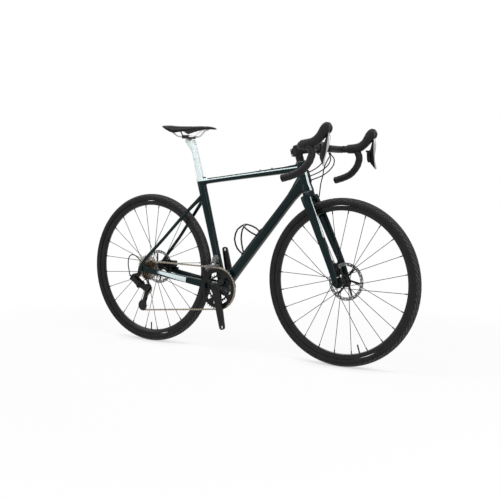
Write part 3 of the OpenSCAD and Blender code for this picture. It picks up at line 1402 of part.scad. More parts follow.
// Pulley cage: two plates, the pivot shaft and the pulley bolts
cage_half = 5;
rd_plate_t = 1.8;
pulley_bolt_r = 2.5;
module strut(a, b, ra, rb) {
  n = [-(b - a).y, (b - a).x] / norm(b - a);
  polygon([a + ra * n, b + rb * n, b - rb * n, a - ra * n]);
  translate(a) circle(r = ra);
  translate(b) circle(r = rb);
}
module rd_plate() {
  strut(flat(guide_c), flat(tension_c), 9, 7.5);
}
module rd_cage() color(black_part) {
    side_plate(-chain_line - cage_half - rd_plate_t / 2, rd_plate_t) {
      rd_plate();
      strut(flat(drum_c), flat(guide_c), 11, 9);
    }
    side_plate(-chain_line + cage_half + rd_plate_t / 2, rd_plate_t) rd_plate();
    across(drum_c, drum_out + 5, -chain_line - cage_half - 1, cage_shaft_r);
    for (c = [guide_c, tension_c]) {
      across(c, -chain_line - cage_half - 1, -chain_line + cage_half + 1, pulley_bolt_r);
    }
  }
pulley_t = 1.8;
module pulley(c, phase) difference() {
    union() {
      translate([c.x, 0, c.z]) side_plate(-chain_line, pulley_t) polygon(sprocket(pulley_teeth, phase));
      across(c, -chain_line - cage_half + body_gap, -chain_line + cage_half - body_gap, 7);
    }
    across(c, -chain_line - cage_half, -chain_line + cage_half, pulley_bolt_r + run_gap);
  }
module guide_pulley() color(black_part) pulley(guide_c, seat_phase(2));
module tension_pulley() color(black_part) pulley(tension_c, seat_phase(1));

frame();
headset_bearings();
bottom_bracket();
derailleur_hanger();
rear_axle();
bottle_cage();
frame_bolts();
bottle_bosses();
cable_port();
rear_caliper();
rear_pads();
fd_bracket();
rear_housing();
seatpost();
saddle_clamp();
saddle_rails();
saddle();
fork();
headset_spacers();
stem();
stem_faceplate();
cockpit_bolts();
handlebar();
bar_tape();
right_hood();
left_hood();
front_axle();
front_caliper();
front_pads();
front_brake_hose();
control_lines();
right_brake_lever();
left_brake_lever();
right_shift_paddle();
left_shift_paddle();
front_tyre();
front_rim();
front_spokes();
front_hub();
front_rotor();
rear_tyre();
rear_rim();
rear_spokes();
rear_hub();
rear_rotor();
cassette();
right_crank();
big_chainring();
small_chainring();
left_crank();
chain();
rd_bracket();
rd_outer_link();
rd_inner_link();
rd_knuckle();
rd_cage();
guide_pulley();
tension_pulley();
fd_link();
fd_cage();
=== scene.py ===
"""Looks of a drop-bar all-road bicycle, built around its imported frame.

Lengths are in metres, apart from routes and stations that say millimetres. X points forward, Y to
the rider's left and Z up, and the origin lies on the ground midway between the two wheel axles.
"""

from __future__ import annotations

import json
import logging
import math
from contextlib import contextmanager
from dataclasses import dataclass, replace
from enum import Enum
from functools import cached_property
from typing import Callable, Iterator, Sequence, Union

import bmesh
import bpy
import numpy as np
from mathutils import Matrix, Vector


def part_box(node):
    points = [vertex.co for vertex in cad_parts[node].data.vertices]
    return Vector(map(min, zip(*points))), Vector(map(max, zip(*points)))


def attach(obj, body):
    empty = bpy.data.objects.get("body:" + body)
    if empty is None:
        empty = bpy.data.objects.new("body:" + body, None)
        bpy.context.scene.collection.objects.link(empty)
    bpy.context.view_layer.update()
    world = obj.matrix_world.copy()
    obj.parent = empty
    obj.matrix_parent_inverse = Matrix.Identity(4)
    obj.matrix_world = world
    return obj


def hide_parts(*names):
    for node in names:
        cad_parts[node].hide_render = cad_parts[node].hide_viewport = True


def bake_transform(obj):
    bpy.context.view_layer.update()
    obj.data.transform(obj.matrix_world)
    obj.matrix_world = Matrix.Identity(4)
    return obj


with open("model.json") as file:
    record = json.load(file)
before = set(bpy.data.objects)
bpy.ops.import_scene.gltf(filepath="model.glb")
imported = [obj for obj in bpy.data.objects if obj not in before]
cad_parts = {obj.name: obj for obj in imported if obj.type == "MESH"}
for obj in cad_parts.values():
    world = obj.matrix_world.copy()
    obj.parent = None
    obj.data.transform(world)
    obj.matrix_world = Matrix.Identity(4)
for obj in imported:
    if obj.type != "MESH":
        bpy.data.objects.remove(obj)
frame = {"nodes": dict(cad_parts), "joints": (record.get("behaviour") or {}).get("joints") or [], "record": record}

LOG = logging.getLogger("bicycle")
MM = 0.001

Point = tuple[float, float, float]
Colour = tuple[float, float, float]
Span = tuple[float, float]
Socket = Union[str, int]
Operand = Union["Shade", float, Sequence[float]]
Piece = bpy.types.Object


class Slot(Enum):
    """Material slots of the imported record."""

    FRAME = "frame_paint"
    FORK = "fork_paint"
    POST = "post_paint"
    BLACK = "black_alloy"
    GLOSS = "gloss_black"
    SILVER = "silver_alloy"
    STEEL = "steel_plain"
    CHAIN = "chain_steel"
    ROTOR = "rotor_steel"
    TYRE = "tyre_rubber"
    GRIP = "grip_rubber"
    TAPE = "tape"
    SADDLE = "saddle_cover"
    HOSE = "hose"
    RIM = "rim_black"
    SPOKE = "spoke_black"


class Side(Enum):
    """The rider's two sides, as the sign of Y."""

    RIGHT = -1
    LEFT = 1

    @property
    def word(self) -> str:
        """Gives the side's name as the pieces' names have it."""
        return self.name.lower()


def joint(name: str) -> dict[str, object]:
    """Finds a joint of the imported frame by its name."""
    return next(j for j in frame["joints"] if j["name"] == name)


def joint_place(name: str) -> Vector:
    """Gives a point on a joint's axis."""
    return Vector(joint(name)["pos_m"])


def joint_axis(name: str) -> Vector:
    """Gives the unit vector along a joint's axis."""
    return Vector(joint(name)["axis"]).normalized()


def quarter(way: Vector) -> Vector:
    """Turns a direction of the side view by a quarter, from forward to up."""
    return Vector((-way.z, 0.0, way.x))


FRONT = joint_place("front_wheel_spin")
REAR = joint_place("rear_wheel_spin")
BRACKET = joint_place("crank_spin")
STEER_UP = joint_axis("steering")
STEER_FORE = -quarter(STEER_UP)
SEAT_UP = joint_axis("seat_height")
SEAT_FORE = -quarter(SEAT_UP)
RAKE = 48 * MM
STEER_FOOT = FRONT - RAKE * STEER_FORE
BAR = Vector((396.25, 0.0, 905.47)) * MM


def on_head(station: float, ahead: float = 0.0, across: float = 0.0) -> Vector:
    """Places a point up the steering axis, ahead of it and to its left, in millimetres."""
    return STEER_FOOT + (station * STEER_UP + ahead * STEER_FORE + Vector((0.0, across, 0.0))) * MM


# Shader maths


class Shade:
    """An output socket of a shader tree that takes part in Python expressions."""

    def __init__(self, tree: ShaderTree, socket: bpy.types.NodeSocket) -> None:
        """Wraps an output socket of a tree."""
        self.tree = tree
        self.socket = socket

    def math(self, operation: str, *values: Operand) -> Shade:
        """Adds one Math node with these operands."""
        return self.tree.node("ShaderNodeMath", {"operation": operation}, dict(enumerate(values)))

    def __add__(self, other: Operand) -> Shade:
        """Adds."""
        return self.math("ADD", self, other)

    __radd__ = __add__

    def __sub__(self, other: Operand) -> Shade:
        """Takes the other away."""
        return self.math("SUBTRACT", self, other)

    def __rsub__(self, other: Operand) -> Shade:
        """Is taken away from the other."""
        return self.math("SUBTRACT", other, self)

    def __mul__(self, other: Operand) -> Shade:
        """Multiplies."""
        return self.math("MULTIPLY", self, other)

    __rmul__ = __mul__

    def __truediv__(self, other: Operand) -> Shade:
        """Divides."""
        return self.math("DIVIDE", self, other)

    def __pow__(self, other: Operand) -> Shade:
        """Raises to a power."""
        return self.math("POWER", self, other)

    def __abs__(self) -> Shade:
        """Drops the sign."""
        return self.math("ABSOLUTE", self)

    def at_least(self, other: Operand) -> Shade:
        """Gives the larger of the two."""
        return self.math("MAXIMUM", self, other)

    def hypot(self, other: Shade) -> Shade:
        """Gives the length of a vector with these two coordinates."""
        return (self * self + other * other) ** 0.5

    def rise(self, edge: float, soft: float) -> Shade:
        """Makes a soft step from 0 to 1 about an edge, with half its width given."""
        span = {"Value": self, "From Min": edge - soft, "From Max": edge + soft}
        return self.tree.node("ShaderNodeMapRange", {"interpolation_type": "SMOOTHSTEP"}, span)

    def within(self, low: float, high: float, soft: float) -> Shade:
        """Makes a soft band that is 1 between two edges and 0 outside them."""
        return self.rise(low, soft) * (1.0 - self.rise(high, soft))


class ShaderTree:
    """Nodes of one material or world."""

    def __init__(self, owner: Union[bpy.types.Material, bpy.types.World]) -> None:
        """Empties the owner's node tree.

        Args:
            owner: The material or world to build.
        """
        owner.use_nodes = True
        self.owner = owner
        self.tree = owner.node_tree
        self.tree.nodes.clear()

    def node(
        self,
        kind: str,
        settings: dict[str, object],
        inputs: dict[Socket, Operand],
        output: Socket = 0,
    ) -> Union[Shade, None]:
        """Adds a node.

        Args:
            kind: The node's type.
            settings: Its properties, which are set first.
            inputs: Values or links of its sockets, by name or index.
            output: The output to hand back.

        Returns:
            The chosen output socket, or None for a node that has no outputs.
        """
        made = self.tree.nodes.new(kind)
        for key, value in settings.items():
            setattr(made, key, value)
        for key, value in inputs.items():
            if isinstance(value, Shade):
                self.tree.links.new(value.socket, made.inputs[key])
            else:
                made.inputs[key].default_value = value
        return Shade(self, made.outputs[output]) if made.outputs else None

    def vector_math(
        self, operation: str, first: Shade, second: Sequence[float], output: Socket = 0
    ) -> Shade:
        """Adds one Vector Math node with a vector and a constant."""
        pair = {0: first, 1: tuple(second)}
        return self.node("ShaderNodeVectorMath", {"operation": operation}, pair, output)

    @cached_property
    def place(self) -> Shade:
        """Gives the object's own coordinates as a vector."""
        return self.node("ShaderNodeTexCoord", {}, {}, "Object")

    @cached_property
    def axes(self) -> tuple[Shade, Shade, Shade]:
        """Gives the object's own coordinates one by one."""
        return self.split(self.place)

    def split(self, vector: Shade) -> tuple[Shade, Shade, Shade]:
        """Splits a vector into its three coordinates."""
        made = self.node("ShaderNodeSeparateXYZ", {}, {0: vector}).socket.node
        return tuple(Shade(self, out) for out in made.outputs)

    def from_point(self, origin: Sequence[float]) -> Shade:
        """Gives coordinates that are measured from a point."""
        return self.vector_math("SUBTRACT", self.place, origin)

    def along(self, origin: Sequence[float], direction: Sequence[float]) -> Shade:
        """Measures the signed distance from a point along a unit direction."""
        return self.vector_math("DOT_PRODUCT", self.from_point(origin), direction, "Value")

    def radius(self, centre: Sequence[float]) -> Shade:
        """Measures the distance from an axle that runs across through a point."""
        x, _, z = self.split(self.from_point(centre))
        return x.hypot(z)

    def noise(self, scale: float, detail: float = 3.0, at: Union[Shade, None] = None) -> Shade:
        """Adds a cloudy noise about its middle value, with its features counted in a metre."""
        inputs = {"Vector": at or self.place, "Scale": scale, "Detail": detail}
        return self.node("ShaderNodeTexNoise", {}, inputs)

    def cells(self, scale: float) -> Shade:
        """Adds round cells, counted in a metre, as the distance from the nearest one's middle."""
        inputs = {"Vector": self.place, "Scale": scale}
        return self.node("ShaderNodeTexVoronoi", {}, inputs, "Distance")

    def mix(self, factor: Operand, first: Operand, second: Operand) -> Shade:
        """Mixes two colours, with the factor as the share of the second."""
        pair = {0: factor, 6: opaque(first), 7: opaque(second)}
        return self.node("ShaderNodeMix", {"data_type": "RGBA"}, pair, 2)

    def seen(self) -> Shade:
        """Says which rays show the surroundings: those from the camera, a gloss or a glass.

        Returns:
            1 for such a ray and 0 for the others.
        """
        path = self.node("ShaderNodeLightPath", {}, {}).socket.node
        camera, glossy, clear = (Shade(self, path.outputs[kind]) for kind in SEEN_RAYS)
        return camera.at_least(glossy).at_least(clear)

    def finish(self, surface: Shade) -> None:
        """Links a surface to the tree's output.

        Args:
            surface: The shader that shows.
        """
        world = isinstance(self.owner, bpy.types.World)
        kind = "ShaderNodeOutputWorld" if world else "ShaderNodeOutputMaterial"
        self.node(kind, {}, {"Surface": surface})


NOISE_MIDDLE = 0.5
SEEN_RAYS = ("Is Camera Ray", "Is Glossy Ray", "Is Transmission Ray")
WHITE = (1.0, 1.0, 1.0, 1.0)


def opaque(colour: Operand) -> Operand:
    """Gives a plain colour its fourth number, and leaves a socket as it is."""
    return colour if isinstance(colour, Shade) else (*colour[:3], 1.0)


def grey(level: float) -> Colour:
    """Makes a dark grey with a trace of blue."""
    return (level, level, level + 0.0005)


# Finishes


@dataclass(frozen=True)
class Finish:
    """A mottled surface with a fine bump.

    The colour drifts between two tones, the roughness drifts about its middle, and the bump is a
    cloudy grain. Patches and grain are counted in a metre, and the relief is in millimetres.
    """

    name: str
    colour: Colour
    tone: Colour
    roughness: float
    spread: float = 0.06
    metallic: float = 0.0
    specular: float = 0.5
    coat: float = 0.0
    coat_roughness: float = 0.06
    patches: float = 28.0
    patch_edge: float = 0.2
    rough_patches: float = 3.0
    grain: float = 900.0
    relief: float = 0.02
    stretch: Point = (1.0, 1.0, 1.0)

    def colour_of(self, tree: ShaderTree) -> Shade:
        """Gives the colour over the surface."""
        drift = tree.noise(self.patches, detail=4.0).rise(NOISE_MIDDLE, self.patch_edge)
        return tree.mix(drift, self.colour, self.tone)

    def height_of(self, tree: ShaderTree) -> Shade:
        """Gives the height over the surface, as a share of the relief."""
        stretched = tree.vector_math("MULTIPLY", tree.place, self.stretch)
        return tree.noise(self.grain, detail=2.0, at=stretched)

    def roughness_of(self, tree: ShaderTree) -> Shade:
        """Gives the roughness over the surface."""
        drift = tree.noise(self.patches * self.rough_patches) - NOISE_MIDDLE
        return self.roughness + drift * (2.0 * self.spread)

    def metal_of(self, tree: ShaderTree) -> Operand:
        """Gives the share of metal over the surface."""
        return self.metallic

    def build(self) -> bpy.types.Material:
        """Makes the material.

        Returns:
            The finished material.
        """
        tree = ShaderTree(bpy.data.materials.new(self.name))
        bump = {"Strength": 1.0, "Distance": self.relief * MM, "Height": self.height_of(tree)}
        sockets = {
            "Base Color": self.colour_of(tree),
            "Roughness": self.roughness_of(tree),
            "Metallic": self.metal_of(tree),
            "Normal": tree.node("ShaderNodeBump", {}, bump),
            "Specular IOR Level": self.specular,
            "Coat Weight": self.coat,
            "Coat Roughness": self.coat_roughness,
        }
        tree.finish(tree.node("ShaderNodeBsdfPrincipled", {}, sockets))
        return tree.owner


@dataclass(frozen=True)
class TrimmedAndHighlitPaint(Finish):
    """Gloss paint with pale marks over it: trim, and painted highlights on the top tube and fork."""

    # Pale colour of both the trim and the painted highlights.
    pale: Colour = (0.72, 0.84, 0.84)
    edge: float = 0.5 * MM
    end_edge: float = 2.0 * MM

    def trim(self, tree: ShaderTree) -> Shade:
        """Gives the pale marks, which each painted piece has in its own places."""
        raise NotImplementedError

    def colour_of(self, tree: ShaderTree) -> Shade:
        """Lays the pale marks, trim and painted highlight alike, over the paint."""
        return tree.mix(self.trim(tree), super().colour_of(tree), self.pale)


@dataclass(frozen=True)
class FramePaint(TrimmedAndHighlitPaint):
    """Paint with a painted highlight strip on the top tube and seat cluster, and pale trim on the head tube and
    right chainstay.

    A strip is given by its lower and upper edge, and a run by where the pale mark starts and ends.
    """

    # The top tube's strip is a painted highlight on its upward flanks; these numbers place it.
    top_rear: Point = (-219.4 * MM, 0.0, 759.1 * MM)
    top_front: Point = (309.4 * MM, 0.0, 822.0 * MM)
    top_strip: Span = (1.8 * MM, 6.5 * MM)
    top_run: Span = (-15.0 * MM, 520.0 * MM)
    cluster_end: float = 34.0 * MM
    cluster_edge: float = 14.0 * MM
    cluster_rise: float = 50.0 * MM
    head_strip: Span = (8.5 * MM, 16.5 * MM)
    head_front: float = 8.0 * MM
    head_run: Span = (405.0 * MM, 512.0 * MM)
    stay_from_axle: Span = (130.0 * MM, -22.0 * MM)
    stay_from_bracket: Span = (-180.0 * MM, 28.0 * MM)
    stay_strip: Span = (-4.0 * MM, 11.0 * MM)
    stay_widening: float = 0.075
    stay_run: Span = (-32.0 * MM, 117.0 * MM)
    stay_fade: float = 12.0 * MM
    stay_side: float = -45.0 * MM
    side_edge: float = 4.0 * MM

    def top_highlight_band(self, tree: ShaderTree) -> Shade:
        """Gives the painted highlight strip on the top tube's upper flank, which opens out over the seat cluster.

        Args:
            tree: The material's nodes.

        Returns:
            1 inside it and 0 outside it.
        """
        start = Vector(self.top_rear)
        way = (Vector(self.top_front) - start).normalized()
        ahead = tree.along(start, way)
        height = tree.along(start, quarter(way))
        low, high = self.top_strip
        cluster = 1.0 - ahead.rise(self.cluster_end, self.cluster_edge)
        under_top = (high + cluster * self.cluster_rise - height).rise(0.0, self.edge)
        run = ahead.within(*self.top_run, self.end_edge)
        return height.rise(low, self.edge) * under_top * run

    def head_band(self, tree: ShaderTree) -> Shade:
        """Gives the upright strips on the front of the head tube, one each side of the port.

        Args:
            tree: The material's nodes.

        Returns:
            1 inside them and 0 outside them.
        """
        ahead = tree.along(STEER_FOOT, STEER_FORE)
        height = tree.along(STEER_FOOT, STEER_UP)
        across = abs(tree.axes[1])
        strip = across.within(*self.head_strip, self.edge) * ahead.rise(self.head_front, self.edge)
        return strip * height.within(*self.head_run, 2 * self.edge)

    def stay_band(self, tree: ShaderTree) -> Shade:
        """Gives the guard patch on the outer face of the right chainstay.

        Args:
            tree: The material's nodes.

        Returns:
            1 inside it and 0 outside it.
        """
        rear = Vector((REAR.x + self.stay_from_axle[0], 0.0, REAR.z + self.stay_from_axle[1]))
        fore = Vector(
            (BRACKET.x + self.stay_from_bracket[0], 0.0, BRACKET.z + self.stay_from_bracket[1])
        )
        way = (fore - rear).normalized()
        ahead = tree.along(rear, way)
        height = tree.along(rear, quarter(way))
        low, high = self.stay_strip
        above = (height - low + ahead * self.stay_widening).rise(0.0, self.edge)
        below = 1.0 - height.rise(high, self.edge)
        start, end = self.stay_run
        run = ahead.rise(start, self.stay_fade) * (1.0 - ahead.rise(end, self.edge))
        right = 1.0 - tree.axes[1].rise(self.stay_side, self.side_edge)
        return above * below * run * right

    def trim(self, tree: ShaderTree) -> Shade:
        """Joins the painted highlight band and the two bands of trim."""
        bands = self.top_highlight_band(tree).at_least(self.head_band(tree))
        return bands.at_least(self.stay_band(tree))


@dataclass(frozen=True)
class ForkPaintWithHighlight(TrimmedAndHighlitPaint):
    """Paint with a thin pale line down the outer front corner of each leg, which is a painted highlight.

    The legs start at the crown's half width and splay ever more slowly on the way down.
    """

    # Run and width of the painted highlight line down each leg.
    run: Span = (196.0 * MM, 376.0 * MM)
    strip: Span = (1.5 * MM, 5.5 * MM)
    crown_half: float = 32.0 * MM
    splay: float = 11.0 * MM
    splay_power: float = 0.6
    splay_length: float = 100.0 * MM
    front: float = 14.0 * MM
    front_slope: float = 0.135

    def trim(self, tree: ShaderTree) -> Shade:
        """Gives the painted highlight line, which follows the leg.

        Args:
            tree: The material's nodes.

        Returns:
            1 inside it and 0 outside it.
        """
        height = tree.along(STEER_FOOT, STEER_UP)
        ahead = tree.along(STEER_FOOT, STEER_FORE)
        below = (self.run[1] - height).at_least(0.0)
        middle = self.crown_half + (below / self.splay_length) ** self.splay_power * self.splay
        out = abs(tree.axes[1]) - middle
        corner = (ahead - (self.front + below * self.front_slope)).rise(0.0, self.edge)
        strip = out.within(*self.strip, self.edge) * corner
        return strip * height.within(*self.run, self.end_edge)


@dataclass(frozen=True)
class Turned(Finish):
    """Metal or paint with fine rings turned about an axle."""

    centre: Point = (0.0, 0.0, 0.0)
    rings: float = 1100.0

    def height_of(self, tree: ShaderTree) -> Shade:
        """Runs the grain round the axle."""
        rings = tree.node("ShaderNodeCombineXYZ", {}, {0: tree.radius(self.centre)})
        return tree.noise(self.rings, detail=4.0, at=rings)


@dataclass(frozen=True)
class Rotor(Turned):
    """Steel braking band on a black spider."""

    spider: Colour = grey(0.012)
    band: float = 62.0 * MM
    edge: float = 0.6 * MM

    def outside(self, tree: ShaderTree) -> Shade:
        """Gives the braking band."""
        return tree.radius(self.centre).rise(self.band, self.edge)

    def colour_of(self, tree: ShaderTree) -> Shade:
        """Lays the steel over the black."""
        return tree.mix(self.outside(tree), self.spider, super().colour_of(tree))

    def metal_of(self, tree: ShaderTree) -> Operand:
        """Makes the band metal."""
        return self.outside(tree)


@dataclass(frozen=True)
class Sprockets(Turned):
    """Plated sprockets that turn warmer towards the hub."""

    warm: Colour = (0.34, 0.25, 0.17)
    warmth: float = 0.8
    warm_radius: float = 38.0 * MM
    warm_edge: float = 22.0 * MM

    def colour_of(self, tree: ShaderTree) -> Shade:
        """Adds the warm tint inwards."""
        inward = 1.0 - tree.radius(self.centre).rise(self.warm_radius, self.warm_edge)
        return tree.mix(inward * self.warmth, super().colour_of(tree), self.warm)


@dataclass(frozen=True)
class TyreRubber(Finish):
    """Matt rubber, greyer on the knob tops as wear and painted highlight, and darker in the grooves between them
    as painted shade.
    """

    middle: float = 330.0 * MM
    top: float = 19.3 * MM
    top_edge: float = 0.35 * MM
    tread: float = 338.0 * MM
    tread_edge: float = 1.5 * MM
    # Knob-top grey is partly wear and partly painted highlight; the groove colour is painted shade.
    worn_and_lit: Colour = (0.125, 0.125, 0.127)
    groove_shade: Colour = (0.008, 0.008, 0.008)
    wear_and_highlight: float = 0.6
    wear_and_highlight_spread: float = 0.8
    scuffs: float = 60.0

    def radius_of(self, tree: ShaderTree) -> Shade:
        """Gives the distance from the nearer axle.

        Args:
            tree: The material's nodes.

        Returns:
            The radius in metres.
        """
        ahead = tree.axes[0].rise(0.0, 1.0 * MM)
        rear, front = (tree.radius(centre) for centre in (REAR, FRONT))
        return rear * (1.0 - ahead) + front * ahead

    def colour_of(self, tree: ShaderTree) -> Shade:
        """Tells knob tops from grooves by their distance from the casing's middle, with a painted highlight on the
        tops and painted shade in the grooves.

        Args:
            tree: The material's nodes.

        Returns:
            The colour over the surface.
        """
        radius = self.radius_of(tree)
        depth = (radius - self.middle).hypot(tree.axes[1])
        scuff = tree.noise(self.scuffs) - NOISE_MIDDLE
        knob = depth.rise(self.top, self.top_edge) * (self.wear_and_highlight + self.wear_and_highlight_spread * scuff)
        # Painted highlight on the knob tops and painted shade in the grooves between them.
        worn_and_lit = tree.mix(knob, self.groove_shade, self.worn_and_lit)
        tread = radius.rise(self.tread, self.tread_edge)
        return tree.mix(tread, super().colour_of(tree), worn_and_lit)


@dataclass(frozen=True)
class Grained(Finish):
    """A skin with small pebbles, such as a synthetic leather or a moulded grip."""

    pebble: float = 700.0
    pebble_share: float = 0.7
    grain_share: float = 0.5

    def height_of(self, tree: ShaderTree) -> Shade:
        """Raises the pebbles between fine creases."""
        pebbles = tree.cells(self.pebble) * self.pebble_share
        return pebbles + tree.noise(self.grain) * self.grain_share


@dataclass(frozen=True)
class HoodRubber(Grained):
    """Pebbled rubber with a smooth glossy cap in the nose, set in a grey ring that is a painted highlight."""

    nose: float = 0.0
    cap: float = 8.5 * MM
    # Grey ring round the cap: a painted highlight.
    ring: Colour = (0.09, 0.09, 0.092)
    ring_width: float = 1.6 * MM
    edge: float = 0.3 * MM
    gloss: float = 0.34

    def cap_of(self, tree: ShaderTree) -> Shade:
        """Gives the cap, which lies ahead of an upright plane."""
        return tree.axes[0].rise(self.nose - self.cap, self.edge)

    def colour_of(self, tree: ShaderTree) -> Shade:
        """Lays the cap and its grey ring, a painted highlight, over the rubber.

        Args:
            tree: The material's nodes.

        Returns:
            The colour over the surface.
        """
        start = self.nose - self.cap
        ring = tree.axes[0].within(start, start + self.ring_width, self.edge)
        capped = tree.mix(self.cap_of(tree), super().colour_of(tree), BLACK)
        return tree.mix(ring, capped, self.ring)

    def roughness_of(self, tree: ShaderTree) -> Shade:
        """Makes the cap glossy."""
        return super().roughness_of(tree) - self.cap_of(tree) * self.gloss


@dataclass(frozen=True)
class LeverAlloy(Finish):
    """Black lever with a silver strip down its front edge and at its tip, partly bare metal and partly a painted
    highlight.
    """

    # Silver of the strip, which is bare metal and a painted highlight at once.
    silver: Colour = (0.4, 0.41, 0.42)
    slope: float = 0.06
    face: float = 145.0 * MM
    edge: float = 0.8 * MM
    bareness: float = 0.9

    def strip(self, tree: ShaderTree) -> Shade:
        """Gives the silver strip, partly bare metal and partly painted highlight, which lies ahead of a slanted
        line.
        """
        x, _, z = tree.split(tree.from_point(BAR))
        return (x - z * self.slope).rise(self.face, self.edge)

    def colour_of(self, tree: ShaderTree) -> Shade:
        """Lays the silver over the black."""
        return tree.mix(self.strip(tree), super().colour_of(tree), self.silver)

    def metal_of(self, tree: ShaderTree) -> Operand:
        """Makes the strip metal."""
        return self.strip(tree) * self.bareness


GREEN = (0.002, 0.0125, 0.0138)
DEEP = (0.0015, 0.0085, 0.0095)
BLACK = (0.0065, 0.0065, 0.0068)
SOOT = grey(0.0115)
GLOSS_GREEN = {
    "colour": GREEN,
    "tone": DEEP,
    "roughness": 0.11,
    "specular": 0.13,
    "coat": 0.03,
    "grain": 350.0,
    "relief": 0.004,
}

FINISHES: dict[Slot, Finish] = {
    Slot.FRAME: FramePaint("frame_green", **GLOSS_GREEN),
    Slot.FORK: ForkPaintWithHighlight("fork_green", **GLOSS_GREEN),
    Slot.POST: Finish(
        "post_mint", (0.7, 0.8, 0.8), (0.74, 0.83, 0.83), 0.32, coat=0.3, grain=350.0, relief=0.002
    ),
    Slot.BLACK: Finish(
        "anodised_black", BLACK, SOOT, 0.3, specular=0.14, grain=4200.0, relief=0.008
    ),
    Slot.GLOSS: Finish(
        "moulded_black", BLACK, SOOT, 0.2, specular=0.16, grain=1800.0, relief=0.004
    ),
    Slot.SILVER: Finish(
        "satin_silver", (0.42, 0.42, 0.43), (0.3, 0.3, 0.31), 0.3, metallic=1.0,
        stretch=(0.08, 1.0, 1.0),
    ),
    Slot.STEEL: Finish(
        "plain_steel", (0.36, 0.35, 0.34), (0.28, 0.27, 0.26), 0.34, metallic=1.0, grain=2400.0
    ),
    Slot.CHAIN: Finish(
        "chain_plate", (0.36, 0.32, 0.26), (0.18, 0.16, 0.13), 0.32, metallic=1.0, patches=160.0
    ),
    Slot.TYRE: TyreRubber(
        "tyre_rubber", grey(0.0115), grey(0.017), 0.6, specular=0.12, relief=0.05
    ),
    Slot.GRIP: HoodRubber(
        "grip_rubber", grey(0.0085), grey(0.0135), 0.48, specular=0.16, relief=0.1
    ),
    Slot.TAPE: Grained(
        "cushioned_tape", grey(0.0095), grey(0.0165), 0.5, specular=0.16, relief=0.1
    ),
    Slot.SADDLE: Grained(
        "saddle_skin", (0.0085, 0.008, 0.0078), (0.014, 0.0135, 0.013), 0.42, specular=0.13,
        relief=0.06,
    ),
    Slot.HOSE: Finish("hose_jacket", grey(0.007), grey(0.012), 0.35, specular=0.16, relief=0.015),
    Slot.SPOKE: Finish("spoke_black", BLACK, SOOT, 0.32, specular=0.12, grain=3000.0, relief=0.005),
}

LEVER_FINISH = LeverAlloy(
    "lever_black", BLACK, SOOT, 0.28, specular=0.14, grain=3000.0, relief=0.006
)
FORGED_BLACK = Finish(
    "forged_black", BLACK, SOOT, 0.13, specular=0.17, coat=0.02, grain=1800.0, relief=0.003
)
SHIFTER_GREY = Finish(
    "shifter_grey", (0.2, 0.2, 0.205), (0.06, 0.06, 0.062), 0.3, metallic=1.0, patches=90.0
)

CRANKS = ("right_crank", "left_crank")
REAR_LINKAGE = ("rd_bracket", "rd_outer_link", "rd_inner_link", "rd_knuckle", "rd_cage")
FRONT_LINKAGE = ("fd_cage", "fd_link", "fd_bracket")

NODE_FINISHES: dict[str, Finish] = {
    "cassette": Sprockets(
        "sprocket_plate", (0.42, 0.39, 0.34), (0.3, 0.27, 0.23), 0.3, metallic=1.0,
        centre=tuple(REAR),
    ),
    "saddle_rails": Finish(
        "rail_silver", (0.8, 0.8, 0.81), (0.68, 0.68, 0.69), 0.4, metallic=0.45, grain=2600.0
    ),
    **dict.fromkeys(CRANKS + REAR_LINKAGE, FORGED_BLACK),
    **dict.fromkeys(FRONT_LINKAGE, SHIFTER_GREY),
}


class Finisher:
    """Keeps each material once and gives it to pieces."""

    def __init__(self) -> None:
        """Starts with no materials."""
        self.made: dict[str, bpy.types.Material] = {}

    def give(self, piece: Piece, finish: Finish) -> None:
        """Makes a finish the only material of a piece.

        Args:
            piece: The piece to dress.
            finish: The finish it gets.
        """
        if finish.name not in self.made:
            self.made[finish.name] = finish.build()
        piece.data.materials.clear()
        piece.data.materials.append(self.made[finish.name])


FINISHER = Finisher()


# Modelling by hand


def solo(piece: Piece) -> None:
    """Makes a piece the only one that operators act on.

    Args:
        piece: The piece to select.
    """
    bpy.ops.object.select_all(action="DESELECT")
    piece.select_set(True)
    bpy.context.view_layer.objects.active = piece


@contextmanager
def editing(piece: Piece) -> Iterator[bmesh.types.BMesh]:
    """Opens a piece in edit mode with everything selected.

    Args:
        piece: The piece to edit.

    Yields:
        Its editable mesh, for choosing what is selected.
    """
    solo(piece)
    bpy.ops.object.mode_set(mode="EDIT")
    bpy.ops.mesh.select_mode(type="FACE")
    bpy.ops.mesh.select_all(action="SELECT")
    yield bmesh.from_edit_mesh(piece.data)
    bpy.ops.object.mode_set(mode="OBJECT")


def choose(
    piece: Piece, mesh: bmesh.types.BMesh, test: Callable[[bmesh.types.BMFace], bool]
) -> None:
    """Selects faces in edit mode.

    Args:
        piece: The piece in edit mode.
        mesh: Its editable mesh.
        test: Says whether a face is selected.
    """
    bpy.ops.mesh.select_all(action="DESELECT")
    for face in mesh.faces:
        face.select_set(test(face))
    bmesh.update_edit_mesh(piece.data)


def apply(piece: Piece, kind: str, **settings: object) -> None:
    """Adds a modifier and applies it.

    Args:
        piece: The piece to change.
        kind: The modifier's type.
        settings: Its properties.
    """
    solo(piece)
    made = piece.modifiers.new(kind.lower(), kind)
    for key, value in settings.items():
        setattr(made, key, value)
    bpy.ops.object.modifier_apply(modifier=made.name)


def smooth(piece: Piece, degrees: float) -> None:
    """Shades a piece smooth, with edges sharper than the angle left crisp."""
    solo(piece)
    bpy.ops.object.shade_smooth_by_angle(angle=math.radians(degrees))


def skin(piece: Piece, voxel: float) -> None:
    """Replaces a piece's mesh by an even, smoothly shaded skin with cells of one size."""
    apply(piece, "REMESH", mode="VOXEL", voxel_size=voxel, use_smooth_shade=True)


def relax(piece: Piece, rounds: int) -> None:
    """Evens a skin out, which rounds its edges off."""
    apply(piece, "SMOOTH", factor=0.5, iterations=rounds)


